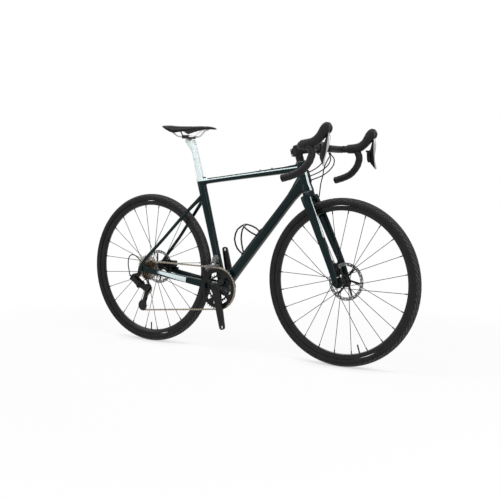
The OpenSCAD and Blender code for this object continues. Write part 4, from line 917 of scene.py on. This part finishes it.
def add_piece(name: str, data: Union[bpy.types.Mesh, bpy.types.Curve]) -> Piece:
    """Puts a mesh or a curve into the scene.

    Args:
        name: The new piece's name.
        data: Its mesh or curve.

    Returns:
        The new piece.
    """
    piece = bpy.data.objects.new(name, data)
    bpy.context.scene.collection.objects.link(piece)
    return piece


def node_copy(node: str, name: str) -> Piece:
    """Copies a CAD node's mesh into a new piece and welds its triangles.

    Args:
        node: The node to copy.
        name: The new piece's name.

    Returns:
        The welded piece.
    """
    piece = add_piece(name, frame["nodes"][node].data.copy())
    solo(piece)
    bpy.ops.mesh.customdata_custom_splitnormals_clear()
    with editing(piece):
        bpy.ops.mesh.remove_doubles(threshold=0.001 * MM)
    return piece


def seat(
    piece: Piece, body: str, slot: Slot, node: str, finish: Union[Finish, None] = None
) -> None:
    """Dresses a piece, parents it to the empty of its body and hides the CAD node that it replaces.

    Args:
        piece: The modelled piece.
        body: The body that it moves with.
        slot: The record's slot of its finish.
        node: The CAD node that it replaces.
        finish: Its finish, where that isn't the slot's own.
    """
    FINISHER.give(piece, finish or FINISHES[slot])
    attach(piece, body)
    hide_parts(node)
    LOG.info("%s rides on %s", piece.name, body)


def curve_through(points: Sequence[Sequence[float]], steps: int) -> list[Vector]:
    """Draws a smooth curve through given points.

    Args:
        points: Points in order.
        steps: Parts that each span is cut into.

    Returns:
        Points along the curve, both ends among them.
    """
    rows = [Vector(p) for p in points]
    ends = [rows[0], *rows, rows[-1]]
    made = []
    for a, b, c, d in zip(ends, ends[1:], ends[2:], ends[3:]):
        for k in range(steps):
            t = k / steps
            bend = (2 * a - 5 * b + 4 * c - d) * t**2 + (3 * b - a - 3 * c + d) * t**3
            made.append(0.5 * (2 * b + (c - a) * t + bend))
    return [*made, rows[-1]]


def length_of(points: Sequence[Vector]) -> float:
    """Adds up the spans of a path."""
    return sum((q - p).length for p, q in zip(points, points[1:]))


def tube(name: str, points: Sequence[Vector], radius: float) -> Piece:
    """Makes a round tube with closed ends along a path.

    Args:
        name: The piece's name.
        points: The path.
        radius: The tube's radius.

    Returns:
        The tube as a mesh.
    """
    curve = bpy.data.curves.new(name, "CURVE")
    curve.dimensions = "3D"
    curve.bevel_depth = radius
    curve.bevel_resolution = 3
    curve.use_fill_caps = True
    spline = curve.splines.new("POLY")
    spline.points.add(len(points) - 1)
    for spot, place in zip(spline.points, points):
        spot.co = (*place, 1.0)
    solo(add_piece(name, curve))
    bpy.ops.object.convert(target="MESH")
    piece = bpy.context.view_layer.objects.active
    with editing(piece):
        bpy.ops.mesh.remove_doubles(threshold=0.01 * MM)
        bpy.ops.mesh.normals_make_consistent(inside=False)
    smooth(piece, 50)
    return piece


# The stage


@dataclass
class Stage:
    """White studio floor, soft lamps and the camera.

    Each lamp has its place, width, height and power.
    """

    eye: Point = (2.171, -3.2005, 0.7282)
    yaw: float = 33.51
    pitch: float = 3.98
    roll: float = 0.89
    lens: float = 62.777
    sensor: float = 36.0
    sky: float = 0.3
    floor_size: float = 30.0
    floor_cuts: int = 4
    floor_drop: float = 0.2 * MM
    floor_tone: Colour = (0.9, 0.9, 0.9)
    glow: float = 0.9
    far: float = 1.6
    far_edge: float = 0.6
    # Zone round each tyre's contact with less white glow, which shows the cast shadow and also paints a faint
    # shadow: half length and width, glow, soft edge.
    contact: Span = (0.2, 0.07)
    contact_shadow_glow: float = 0.5
    contact_edge: float = 0.75
    aim: Point = (0.0, 0.0, 0.5)
    lamps: tuple[tuple[Point, float, float, float], ...] = (
        ((0.1, -0.9, 2.7), 2.8, 0.6, 44.0),
        ((2.9, -1.2, 1.5), 0.5, 2.0, 28.0),
        ((-2.4, -2.3, 1.6), 0.5, 2.0, 13.0),
        ((-1.5, 2.6, 2.0), 1.6, 1.6, 24.0),
    )

    def camera(self) -> None:
        """Aims the camera from its yaw, pitch and roll."""
        yaw, pitch, roll = (math.radians(a) for a in (self.yaw, self.pitch, self.roll))
        level = math.cos(pitch)
        look = Vector((-math.sin(yaw) * level, math.cos(yaw) * level, -math.sin(pitch)))
        right = Vector((math.cos(yaw), math.sin(yaw), 0.0))
        up = right.cross(look)
        tilted_right = math.cos(roll) * right + math.sin(roll) * up
        tilted_up = -math.sin(roll) * right + math.cos(roll) * up
        turn = Matrix((tilted_right, tilted_up, -look)).transposed()
        bpy.ops.object.camera_add(location=self.eye, rotation=turn.to_euler())
        made = bpy.context.object
        made.name = "studio_camera"
        made.data.lens = self.lens
        made.data.sensor_width = self.sensor
        bpy.context.scene.camera = made

    def world(self) -> None:
        """Makes the world white to look at and softer as a light."""
        tree = ShaderTree(bpy.data.worlds.new("studio"))
        strength = self.sky + tree.seen() * (1.0 - self.sky)
        inputs = {"Color": WHITE, "Strength": strength}
        tree.finish(tree.node("ShaderNodeBackground", {}, inputs))
        bpy.context.scene.world = tree.owner

    def floor(self) -> None:
        """Lays a white floor that keeps the soft cast shadow under the tyres, and paints a faint shadow in a zone
        round each tyre's contact.
        """
        drop = (0.0, 0.0, -self.floor_drop)
        bpy.ops.mesh.primitive_plane_add(size=self.floor_size, location=drop)
        made = bpy.context.object
        made.name = "studio_floor"
        with editing(made):
            bpy.ops.mesh.subdivide(number_cuts=self.floor_cuts)
        tree = ShaderTree(bpy.data.materials.new("studio_floor"))
        x, y, _ = tree.axes
        far = x.hypot(y).rise(self.far, self.far_edge)
        along, across = (abs(x) - FRONT.x) / self.contact[0], y / self.contact[1]
        # Painted shadow: the glow drops near the contacts, which darkens the floor there beyond the cast shadow.
        shadow_zone = 1.0 - along.hypot(across).rise(self.contact_edge, self.contact_edge)
        share = self.glow + far * (1.0 - self.glow) - shadow_zone * (self.glow - self.contact_shadow_glow)
        lit = tree.node("ShaderNodeBsdfDiffuse", {}, {"Color": opaque(self.floor_tone)})
        white = tree.node("ShaderNodeEmission", {}, {"Color": WHITE, "Strength": 1.0})
        shown = tree.node("ShaderNodeMixShader", {}, {0: share, 1: lit, 2: white})
        tree.finish(tree.node("ShaderNodeMixShader", {}, {0: tree.seen(), 1: lit, 2: shown}))
        made.data.materials.append(tree.owner)

    def lights(self) -> None:
        """Hangs the soft lamps, each aimed at the middle of the bicycle."""
        for k, (place, width, height, power) in enumerate(self.lamps):
            turn = (Vector(self.aim) - Vector(place)).to_track_quat("-Z", "Y").to_euler()
            bpy.ops.object.light_add(type="AREA", location=place, rotation=turn)
            lamp = bpy.context.object
            lamp.name = f"soft_lamp_{k + 1}"
            lamp.data.shape = "RECTANGLE"
            lamp.data.size, lamp.data.size_y = width, height
            lamp.data.energy = power
            lamp.visible_camera = False

    def build(self) -> None:
        """Sets the whole stage."""
        bpy.context.scene.view_settings.view_transform = "Standard"
        self.camera()
        self.world()
        self.floor()
        self.lights()


# Hoses and housings


@dataclass
class ControlLines:
    """Hoses and gear housings, each a cord along its given route.

    Routes are in millimetres: from the middle of the handlebar, up the steering axis for the ports
    and the hose's ends, and from the rear axle for the loop.
    """

    radius: float = 2.5 * MM
    steps: int = 4
    port_stations: tuple[float, ...] = (484.0, 466.0, 448.0)
    port_reaches: Span = (37.0, 25.8)
    starts: tuple[Point, ...] = ((6, -62, -18.4), (6, 62, -18.4), (6, 70, -18.4))
    bends: tuple[tuple[Point, ...], ...] = (
        ((13, -51, -25), (24, -31, -42), (12, -10, -64), (-16, -2, -84)),
        ((14, 52, -26), (30, 34, -46), (28, 14, -73), (-2, 3, -99)),
        ((16, 60, -26), (43, 42, -48), (46, 20, -80), (14, 4, -113)),
    )
    hose_bends: tuple[Point, ...] = (
        (6, 78, -18.4), (8, 70, -30), (6, 46, -54), (3, 28, -84), (1, 22, -116),
    )
    hose_ends: tuple[Point, ...] = ((424, 56, 22), (389.6, 36, 29), (373.6, 26.8, 32))
    rear_loop: tuple[Point, ...] = (
        (-3.5, -76, 32), (-16, -77, 44), (-32, -80, 57), (-50, -83, 62), (-65, -86, 54),
        (-71, -88, 34), (-69, -90, 8), (-63, -91, -14), (-60, -91.5, -30),
    )

    def declare(self, piece: Piece, route: Sequence[Vector]) -> None:
        """Dresses a tube and logs it as a cord of its route's length.

        Args:
            piece: The tube.
            route: The points that it follows.
        """
        length_of(route)
        2 * self.radius
        FINISHER.give(piece, FINISHES[Slot.HOSE])
        LOG.info("%s is a cord of %.0f mm", piece.name, length_of(route) / MM)

    def steering_lines(self) -> None:
        """Makes the three lines that bend between the handlebar and the head tube."""
        names = ("rear_brake_hose", "front_gear_housing", "rear_gear_housing")
        for name, start, bends, station in zip(names, self.starts, self.bends, self.port_stations):
            points = [BAR + Vector(p) * MM for p in (start, *bends)]
            points += [on_head(station, reach) for reach in self.port_reaches]
            route = curve_through(points, self.steps)
            piece = tube(name, route, self.radius)
            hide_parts("control_lines")
            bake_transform(piece)
            self.declare(piece, route)

    def fixed_lines(self) -> None:
        """Makes the hose to the fork crown and the loop to the rear derailleur."""
        hose = [BAR + Vector(p) * MM for p in self.hose_bends]
        hose += [on_head(*p) for p in self.hose_ends]
        loop = [REAR + Vector(p) * MM for p in self.rear_loop]
        for name, points, node, body in (
            ("front_fork_hose", hose, "front_brake_hose", "steering"),
            ("rear_loop_housing", loop, "rear_housing", "frameset"),
        ):
            route = curve_through(points, self.steps)
            piece = tube(name, route, self.radius)
            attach(piece, body)
            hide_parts(node)
            self.declare(piece, route)

    def build(self) -> None:
        """Makes every line."""
        self.steering_lines()
        self.fixed_lines()


# Frame and fork


@dataclass
class Frameset:
    """Moulded frame and fork, skinned evenly so that the tubes run into each other."""

    voxel: float = 2.4 * MM
    rounds: int = 7

    def build(self) -> None:
        """Makes the frame and the fork."""
        for node, body, slot in (
            ("frame", "frameset", Slot.FRAME),
            ("fork", "steering", Slot.FORK),
        ):
            piece = node_copy(node, f"{node}_shell")
            skin(piece, self.voxel)
            relax(piece, self.rounds)
            seat(piece, body, slot, node)


# Seat


@dataclass
class Seatpost:
    """Seatpost with a straight shaft up to the clamp, run into its set-back head.

    Low, high and neck are heights up the seat tube from the bottom bracket.
    """

    depth: float = 16.2 * MM
    width: float = 12.7 * MM
    sides: int = 40
    low: float = 599.0 * MM
    high: float = 689.0 * MM
    neck: float = 652.0 * MM
    lean: float = 1.3
    voxel: float = 1.8 * MM
    rounds: int = 12

    def trim(self, piece: Piece) -> None:
        """Draws the back of the head in, so that it leaves the shaft only at the neck.

        Args:
            piece: The post's skin.
        """
        for spot in piece.data.vertices:
            reach = spot.co - BRACKET
            back = -self.depth - self.lean * max(0.0, reach.dot(SEAT_UP) - self.neck)
            spot.co += SEAT_FORE * max(0.0, back - reach.dot(SEAT_FORE))
        piece.data.update()

    def build(self) -> None:
        """Makes the post."""
        middle = BRACKET + SEAT_UP * (self.low + self.high) / 2
        turn = SEAT_UP.to_track_quat("Z", "Y").to_euler()
        bpy.ops.object.select_all(action="DESELECT")
        bpy.ops.mesh.primitive_cylinder_add(
            vertices=self.sides, radius=1.0, depth=self.high - self.low, location=middle,
            rotation=turn,
        )
        shaft = bpy.context.object
        shaft.scale = (self.depth, self.width, 1.0)
        piece = node_copy("seatpost", "seatpost_shell")
        shaft.select_set(True)
        bpy.ops.object.join()
        skin(piece, self.voxel)
        self.trim(piece)
        relax(piece, self.rounds)
        seat(piece, "seat", Slot.POST, "seatpost")


@dataclass
class Saddle:
    """Padded saddle, swollen by cloth simulation over its base."""

    voxel: float = 4.0 * MM
    rounds: int = 2
    inset: float = 0.8 * MM
    reach: float = 2.5 * MM
    pressure: float = 4.0
    frames: int = 20
    hold: str = "held_underside"
    hold_tilt: float = -0.2
    tail: float = 75.0 * MM
    tail_thinning: float = 0.75
    tail_top: float = 2.0 * MM
    nose: float = 45.0 * MM
    nose_drop: float = 3.5 * MM
    nose_curve: float = 1.5

    def shape(self, piece: Piece) -> None:
        """Thins the tail towards its upper edge and lets the nose fall.

        Args:
            piece: The saddle's skin.
        """
        low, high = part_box("saddle")
        top = high[2] + self.tail_top
        for spot in piece.data.vertices:
            back = max(0.0, 1.0 - (spot.co.x - low[0]) / self.tail)
            ahead = max(0.0, 1.0 - (high[0] - spot.co.x) / self.nose)
            lift = (top - spot.co.z) * self.tail_thinning * back
            spot.co.z += lift - self.nose_drop * ahead**self.nose_curve
        piece.data.update()

    def swell(self, piece: Piece) -> None:
        """Blows the cover up over its padding, by no more than its reach.

        Args:
            piece: The saddle's skin.
        """
        held = piece.vertex_groups.new(name=self.hold)
        under = [v.index for v in piece.data.vertices if v.normal.z < self.hold_tilt]
        held.add(under, 1.0, "REPLACE")
        before = np.array([v.co for v in piece.data.vertices])
        cloth = piece.modifiers.new("cover", "CLOTH")
        cloth.settings.use_pressure = True
        cloth.settings.uniform_pressure_force = self.pressure
        cloth.settings.effector_weights.gravity = 0.0
        cloth.settings.vertex_group_mass = self.hold
        for step in range(1, self.frames + 1):
            bpy.context.scene.frame_set(step)
        solo(piece)
        bpy.ops.object.modifier_apply(modifier=cloth.name)
        bpy.context.scene.frame_set(1)
        after = np.array([v.co for v in piece.data.vertices])
        move = after - before
        far = np.linalg.norm(move, axis=1, keepdims=True)
        kept = before + move * np.minimum(1.0, self.reach / np.maximum(far, 1e-9))
        piece.data.vertices.foreach_set("co", kept.ravel())
        piece.data.update()

    def build(self) -> None:
        """Makes the saddle."""
        piece = node_copy("saddle", "saddle_pad")
        skin(piece, self.voxel)
        with editing(piece):
            bpy.ops.transform.shrink_fatten(value=-self.inset)
        self.shape(piece)
        self.swell(piece)
        relax(piece, self.rounds)
        apply(piece, "SUBSURF", levels=1, render_levels=1)
        seat(piece, "seat", Slot.SADDLE, "saddle")


# Handlebar tape, hoods and levers


@dataclass
class Cockpit:
    """Soft pieces of the handlebar, and its levers.

    The bend is the right half of the bar, in millimetres from the bar's middle.
    """

    bend: tuple[Point, ...] = (
        (0, -62, 0), (0, -148, 0), (8, -178, 1), (28, -196, 3), (50, -203, 2), (66, -205, -8),
        (75, -206, -28), (75, -208, -43), (63, -212, -72), (33, -217, -103), (-5, -222, -120),
        (-45, -226, -131),
    )
    bend_steps: int = 40
    end_radius: float = 13.1 * MM
    tape_radius: float = 15.2 * MM
    lap: float = 1.1 * MM
    pitch: float = 21.0 * MM
    ring_step: float = 2.0 * MM
    sides: int = 24
    crisp: float = 40.0
    hood_voxel: float = 1.6 * MM
    hood_rounds: int = 6

    def even_path(self, side: Side) -> list[Vector]:
        """Spaces points evenly along the bar.

        Args:
            side: The rider's side.

        Returns:
            Points along the bar's middle.
        """
        half = [BAR + Vector((x, -side.value * y, z)) * MM for x, y, z in self.bend]
        fine = curve_through(half, self.bend_steps)
        spans = [(q - p).length for p, q in zip(fine, fine[1:])]
        reached = np.concatenate([[0.0], np.cumsum(spans)])
        stations = np.linspace(0.0, reached[-1], int(reached[-1] / self.ring_step))
        rows = np.array(fine)
        return [Vector([np.interp(s, reached, rows[:, k]) for k in range(3)]) for s in stations]

    def rings(self, side: Side) -> list[list[Vector]]:
        """Lays rings round the bar whose radius grows along each lap of the tape.

        Args:
            side: The rider's side.

        Returns:
            Points of each ring in order.
        """
        path = self.even_path(side)
        last = len(path) - 1
        made, reached = [], 0.0
        out = Vector((0.0, 0.0, 1.0))
        for k, place in enumerate(path):
            way = (path[min(k + 1, last)] - path[max(k - 1, 0)]).normalized()
            out = (out - out.dot(way) * way).normalized()
            up = way.cross(out)
            reached += (place - path[k - 1]).length if k else 0.0
            ring = []
            for j in range(self.sides):
                angle = 2 * math.pi * j / self.sides
                lap = (reached / self.pitch + side.value * j / self.sides) % 1.0
                radius = self.tape_radius + self.lap * (lap**2 - 0.5)
                if k in (0, last):
                    radius = self.end_radius
                ring.append(place + radius * (math.cos(angle) * out + math.sin(angle) * up))
            made.append(ring)
        return made

    def wrap(self, side: Side) -> Piece:
        """Winds the tape on one side as a helix of overlapping laps.

        Args:
            side: The rider's side.

        Returns:
            The wound tape.
        """
        mesh = bmesh.new()
        rings = [[mesh.verts.new(spot) for spot in ring] for ring in self.rings(side)]
        for first, second in zip(rings, rings[1:]):
            for j in range(self.sides):
                n = (j + 1) % self.sides
                mesh.faces.new((first[j], first[n], second[n], second[j]))
        mesh.faces.new(rings[0][::-1])
        mesh.faces.new(rings[-1])
        name = f"{side.word}_tape"
        data = bpy.data.meshes.new(name)
        mesh.to_mesh(data)
        mesh.free()
        piece = add_piece(name, data)
        with editing(piece):
            bpy.ops.mesh.normals_make_consistent(inside=False)
        smooth(piece, self.crisp)
        return piece

    def tapes(self) -> None:
        """Makes both wraps."""
        for side in Side:
            piece = self.wrap(side)
            seat(piece, "steering", Slot.TAPE, "bar_tape")

    def hoods(self) -> None:
        """Makes both rubber hoods from the lever bodies' forms."""
        for side in Side:
            node = f"{side.word}_hood"
            piece = node_copy(node, f"{side.word}_grip")
            skin(piece, self.hood_voxel)
            relax(piece, self.hood_rounds)
            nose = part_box(node)[1][0]
            seat(piece, "steering", Slot.GRIP, node, replace(FINISHES[Slot.GRIP], nose=nose))

    def levers(self) -> None:
        """Smooths the brake levers and gives them their silver edge, partly bare metal and partly a painted
        highlight.
        """
        for side in Side:
            node = f"{side.word}_brake_lever"
            piece = node_copy(node, f"{side.word}_lever_blade")
            smooth(piece, self.crisp)
            seat(piece, f"{side.word}_lever", Slot.BLACK, node, LEVER_FINISH)

    def build(self) -> None:
        """Makes the soft pieces and the levers."""
        self.tapes()
        self.hoods()
        self.levers()


# Wheels


@dataclass
class Tyre:
    """All-road tyre: a spun section with a file tread and shoulder knobs.

    Crown and shoulder are angles from the middle of the tread, in degrees.
    """

    radius: float = 350.0 * MM
    width: float = 40.0 * MM
    open_share: float = 0.65
    sides: int = 32
    steps: int = 264
    knob_inset: float = 0.55 * MM
    knob_heights: Span = (1.5 * MM, 1.7 * MM)
    crown: float = 26.0
    shoulder: float = 64.0
    crisp: float = 25.0

    def section(self, name: str) -> Piece:
        """Makes the casing's section as an open arc beside the front axle.

        Args:
            name: The piece's name.

        Returns:
            The arc, in edit mode.
        """
        half = self.width / 2
        middle = FRONT.x + self.radius - half
        bpy.ops.object.select_all(action="DESELECT")
        bpy.ops.mesh.primitive_circle_add(
            vertices=self.sides, radius=half, location=(middle, 0.0, FRONT.z)
        )
        piece = bpy.context.object
        piece.name = name
        bpy.ops.object.transform_apply(location=True, rotation=True, scale=True)
        solo(piece)
        bpy.ops.object.mode_set(mode="EDIT")
        bpy.ops.mesh.select_mode(type="VERT")
        mesh = bmesh.from_edit_mesh(piece.data)
        for spot in mesh.verts:
            spot.select_set(spot.co.x < middle - self.open_share * half)
        bmesh.update_edit_mesh(piece.data)
        bpy.ops.mesh.delete(type="VERT")
        return piece

    def angles(self, place: Vector) -> tuple[float, int]:
        """Says where on the tyre a point lies.

        Args:
            place: The point.

        Returns:
            Its angle from the crown in degrees, and the step round the wheel.
        """
        ahead, above = place.x - FRONT.x, place.z - FRONT.z
        out = math.hypot(ahead, above) - self.radius + self.width / 2
        turn = math.atan2(above, ahead) % (2 * math.pi)
        return math.degrees(math.atan2(place.y, out)), int(turn / (2 * math.pi) * self.steps)

    def raised(self, face: bmesh.types.BMFace, low: float, high: float) -> bool:
        """Says whether a face is a knob, as two of any three are in a zone of the tread.

        Args:
            face: The face.
            low: The zone's start, in degrees from the crown.
            high: The zone's end.

        Returns:
            Whether it is a knob.
        """
        lean, step = self.angles(face.calc_center_median())
        row = int((lean + 180.0) / (360.0 / self.sides))
        return low <= abs(lean) < high and (row + step) % 3 != 0

    def build(self, name: str) -> Piece:
        """Spins the casing and raises its knobs.

        Args:
            name: The piece's name.

        Returns:
            The tyre round the front axle.
        """
        piece = self.section(name)
        bpy.ops.mesh.select_all(action="SELECT")
        bpy.ops.mesh.spin(
            steps=self.steps, angle=2 * math.pi, center=FRONT, axis=(0.0, 1.0, 0.0),
            use_auto_merge=True,
        )
        bpy.ops.mesh.select_all(action="SELECT")
        bpy.ops.mesh.remove_doubles(threshold=0.05 * MM)
        bpy.ops.mesh.select_all(action="DESELECT")
        bpy.ops.mesh.select_non_manifold()
        bpy.ops.mesh.bridge_edge_loops()
        bpy.ops.mesh.select_all(action="SELECT")
        bpy.ops.mesh.normals_make_consistent(inside=False)
        bpy.ops.object.mode_set(mode="OBJECT")
        with editing(piece) as mesh:
            choose(
                piece,
                mesh,
                lambda face: abs(self.angles(face.calc_center_median())[0]) < self.shoulder,
            )
            bpy.ops.transform.shrink_fatten(value=-self.knob_heights[1])
        zones = ((0.0, self.crown), (self.crown, self.shoulder))
        for (low, high), height in zip(zones, self.knob_heights):
            with editing(piece) as mesh:
                choose(piece, mesh, lambda face: self.raised(face, low, high))
                bpy.ops.mesh.inset(thickness=self.knob_inset, depth=height, use_individual=True)
        smooth(piece, self.crisp)
        return piece


@dataclass
class Wheel:
    """One wheel's tyre, and the finishes that are turned about its axle."""

    word: str
    centre: Vector
    body: str
    crisp: float = 30.0
    steel: Colour = (0.16, 0.16, 0.165)
    pale_steel: Colour = (0.23, 0.23, 0.235)

    def polish(self) -> None:
        """Welds and dresses the rim and the rotor."""
        spot = tuple(self.centre)
        rim = Turned(
            f"{self.word}_rim_black", BLACK, SOOT, 0.24, specular=0.2, relief=0.012, centre=spot
        )
        rotor = Rotor(
            f"{self.word}_rotor_steel", self.steel, self.pale_steel, 0.28, relief=0.01, centre=spot
        )
        for noun, slot, finish in (("rim", Slot.RIM, rim), ("rotor", Slot.ROTOR, rotor)):
            node = f"{self.word}_{noun}"
            piece = node_copy(node, f"{node}_finished")
            smooth(piece, self.crisp)
            seat(piece, self.body, slot, node, finish)

    def build(self, tyre: Piece) -> None:
        """Mounts a copy of the tyre and dresses the wheel.

        Args:
            tyre: The tyre round the front axle, which is copied.
        """
        piece = add_piece(f"{self.word}_tyre_treaded", tyre.data.copy())
        piece.data.transform(Matrix.Translation(self.centre - FRONT))
        seat(piece, self.body, Slot.TYRE, f"{self.word}_tyre")
        self.polish()


# Drivetrain and the rest of the rigid pieces


@dataclass
class Hardware:
    """Rigid pieces that keep their CAD form, welded and dressed by the record's slots.

    Forged and moulded pieces get round edges, by the size of their skin's cells and its rounds. The
    guard's steps are how far each of its rings lies in from the last, and how far it then sinks.
    """

    crisp: float = 32.0
    wire_growth: float = 0.5 * MM
    wires: tuple[str, ...] = ("front_spokes", "rear_spokes", "bottle_cage")
    forged: tuple[str, ...] = (*CRANKS, "stem")
    forged_skin: tuple[float, int] = (1.0 * MM, 22)
    moulded: tuple[str, ...] = ("rear_caliper", "front_caliper")
    moulded_skin: tuple[float, int] = (0.6 * MM, 6)
    linkage: tuple[str, ...] = (*REAR_LINKAGE, "fd_cage")
    flat: float = 0.5
    sharp: float = 40.0
    edge: float = 0.35 * MM
    guard_sides: int = 56
    guard_radius: float = 25.0 * MM
    guard_depth: float = 1.9 * MM
    guard_out: float = 5.90 * MM
    guard_steps: tuple[Span, ...] = ((3 * MM, 0.5 * MM), (13 * MM, 0.0), (3 * MM, -0.7 * MM))

    def add_guard(self, piece: Piece) -> None:
        """Adds the dished round end of the cage's outer plate, which covers the lower pulley.

        Args:
            piece: The cage.
        """
        spot = joint_place("tension_pulley_spin")
        spot.y -= self.guard_out
        bpy.ops.object.select_all(action="DESELECT")
        bpy.ops.mesh.primitive_cylinder_add(
            vertices=self.guard_sides, radius=self.guard_radius, depth=self.guard_depth,
            location=spot, rotation=(math.pi / 2, 0.0, 0.0),
        )
        disc = bpy.context.object
        with editing(disc) as mesh:
            choose(disc, mesh, lambda face: face.normal.z > 0.5)
            for inward, sink in self.guard_steps:
                bpy.ops.mesh.inset(thickness=inward)
                bpy.ops.transform.translate(value=(0.0, sink, 0.0))
        solo(piece)
        disc.select_set(True)
        bpy.ops.object.join()

    def work(self, piece: Piece, node: str) -> None:
        """Thickens wires, rounds off forged and moulded pieces, and breaks the linkage's edges.

        Args:
            piece: The node's copy.
            node: The CAD node.
        """
        if node in self.wires:
            with editing(piece):
                bpy.ops.transform.shrink_fatten(value=self.wire_growth)
        if node == "rd_cage":
            self.add_guard(piece)
        if node in self.linkage:
            flat, sharp = math.radians(self.flat), math.radians(self.sharp)
            apply(piece, "DECIMATE", decimate_type="DISSOLVE", angle_limit=flat)
            apply(piece, "BEVEL", width=self.edge, segments=2, angle_limit=sharp)
        if node in self.forged + self.moulded:
            voxel, rounds = self.forged_skin if node in self.forged else self.moulded_skin
            skin(piece, voxel)
            relax(piece, rounds)
        else:
            smooth(piece, self.crisp)

    def build(self) -> None:
        """Dresses every node that nothing replaces yet."""
        record = frame["record"]
        bodies = {n: body for body, nodes in record["behaviour"]["bodies"].items() for n in nodes}
        for row in record["subparts"]:
            node, slot = row["node"], Slot(row["material_slot"])
            if frame["nodes"][node].hide_render:
                continue
            if node == "chain":
                name, body = "chain_run", "frameset"
            else:
                name, body = f"{node}_finished", bodies[node]
            piece = node_copy(node, name)
            self.work(piece, node)
            seat(piece, body, slot, node, NODE_FINISHES.get(node))


def main() -> None:
    """Builds the stage and every piece in order."""
    logging.basicConfig(level=logging.INFO, format="%(message)s")
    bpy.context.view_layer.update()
    Stage().build()
    ControlLines().build()
    Frameset().build()
    Seatpost().build()
    Saddle().build()
    Cockpit().build()
    tyre = Tyre().build("tyre_form")
    Wheel("front", FRONT, "front_wheel").build(tyre)
    Wheel("rear", REAR, "rear_wheel").build(tyre)
    bpy.data.objects.remove(tyre)
    Hardware().build()


if __name__ == "__main__":
    main()
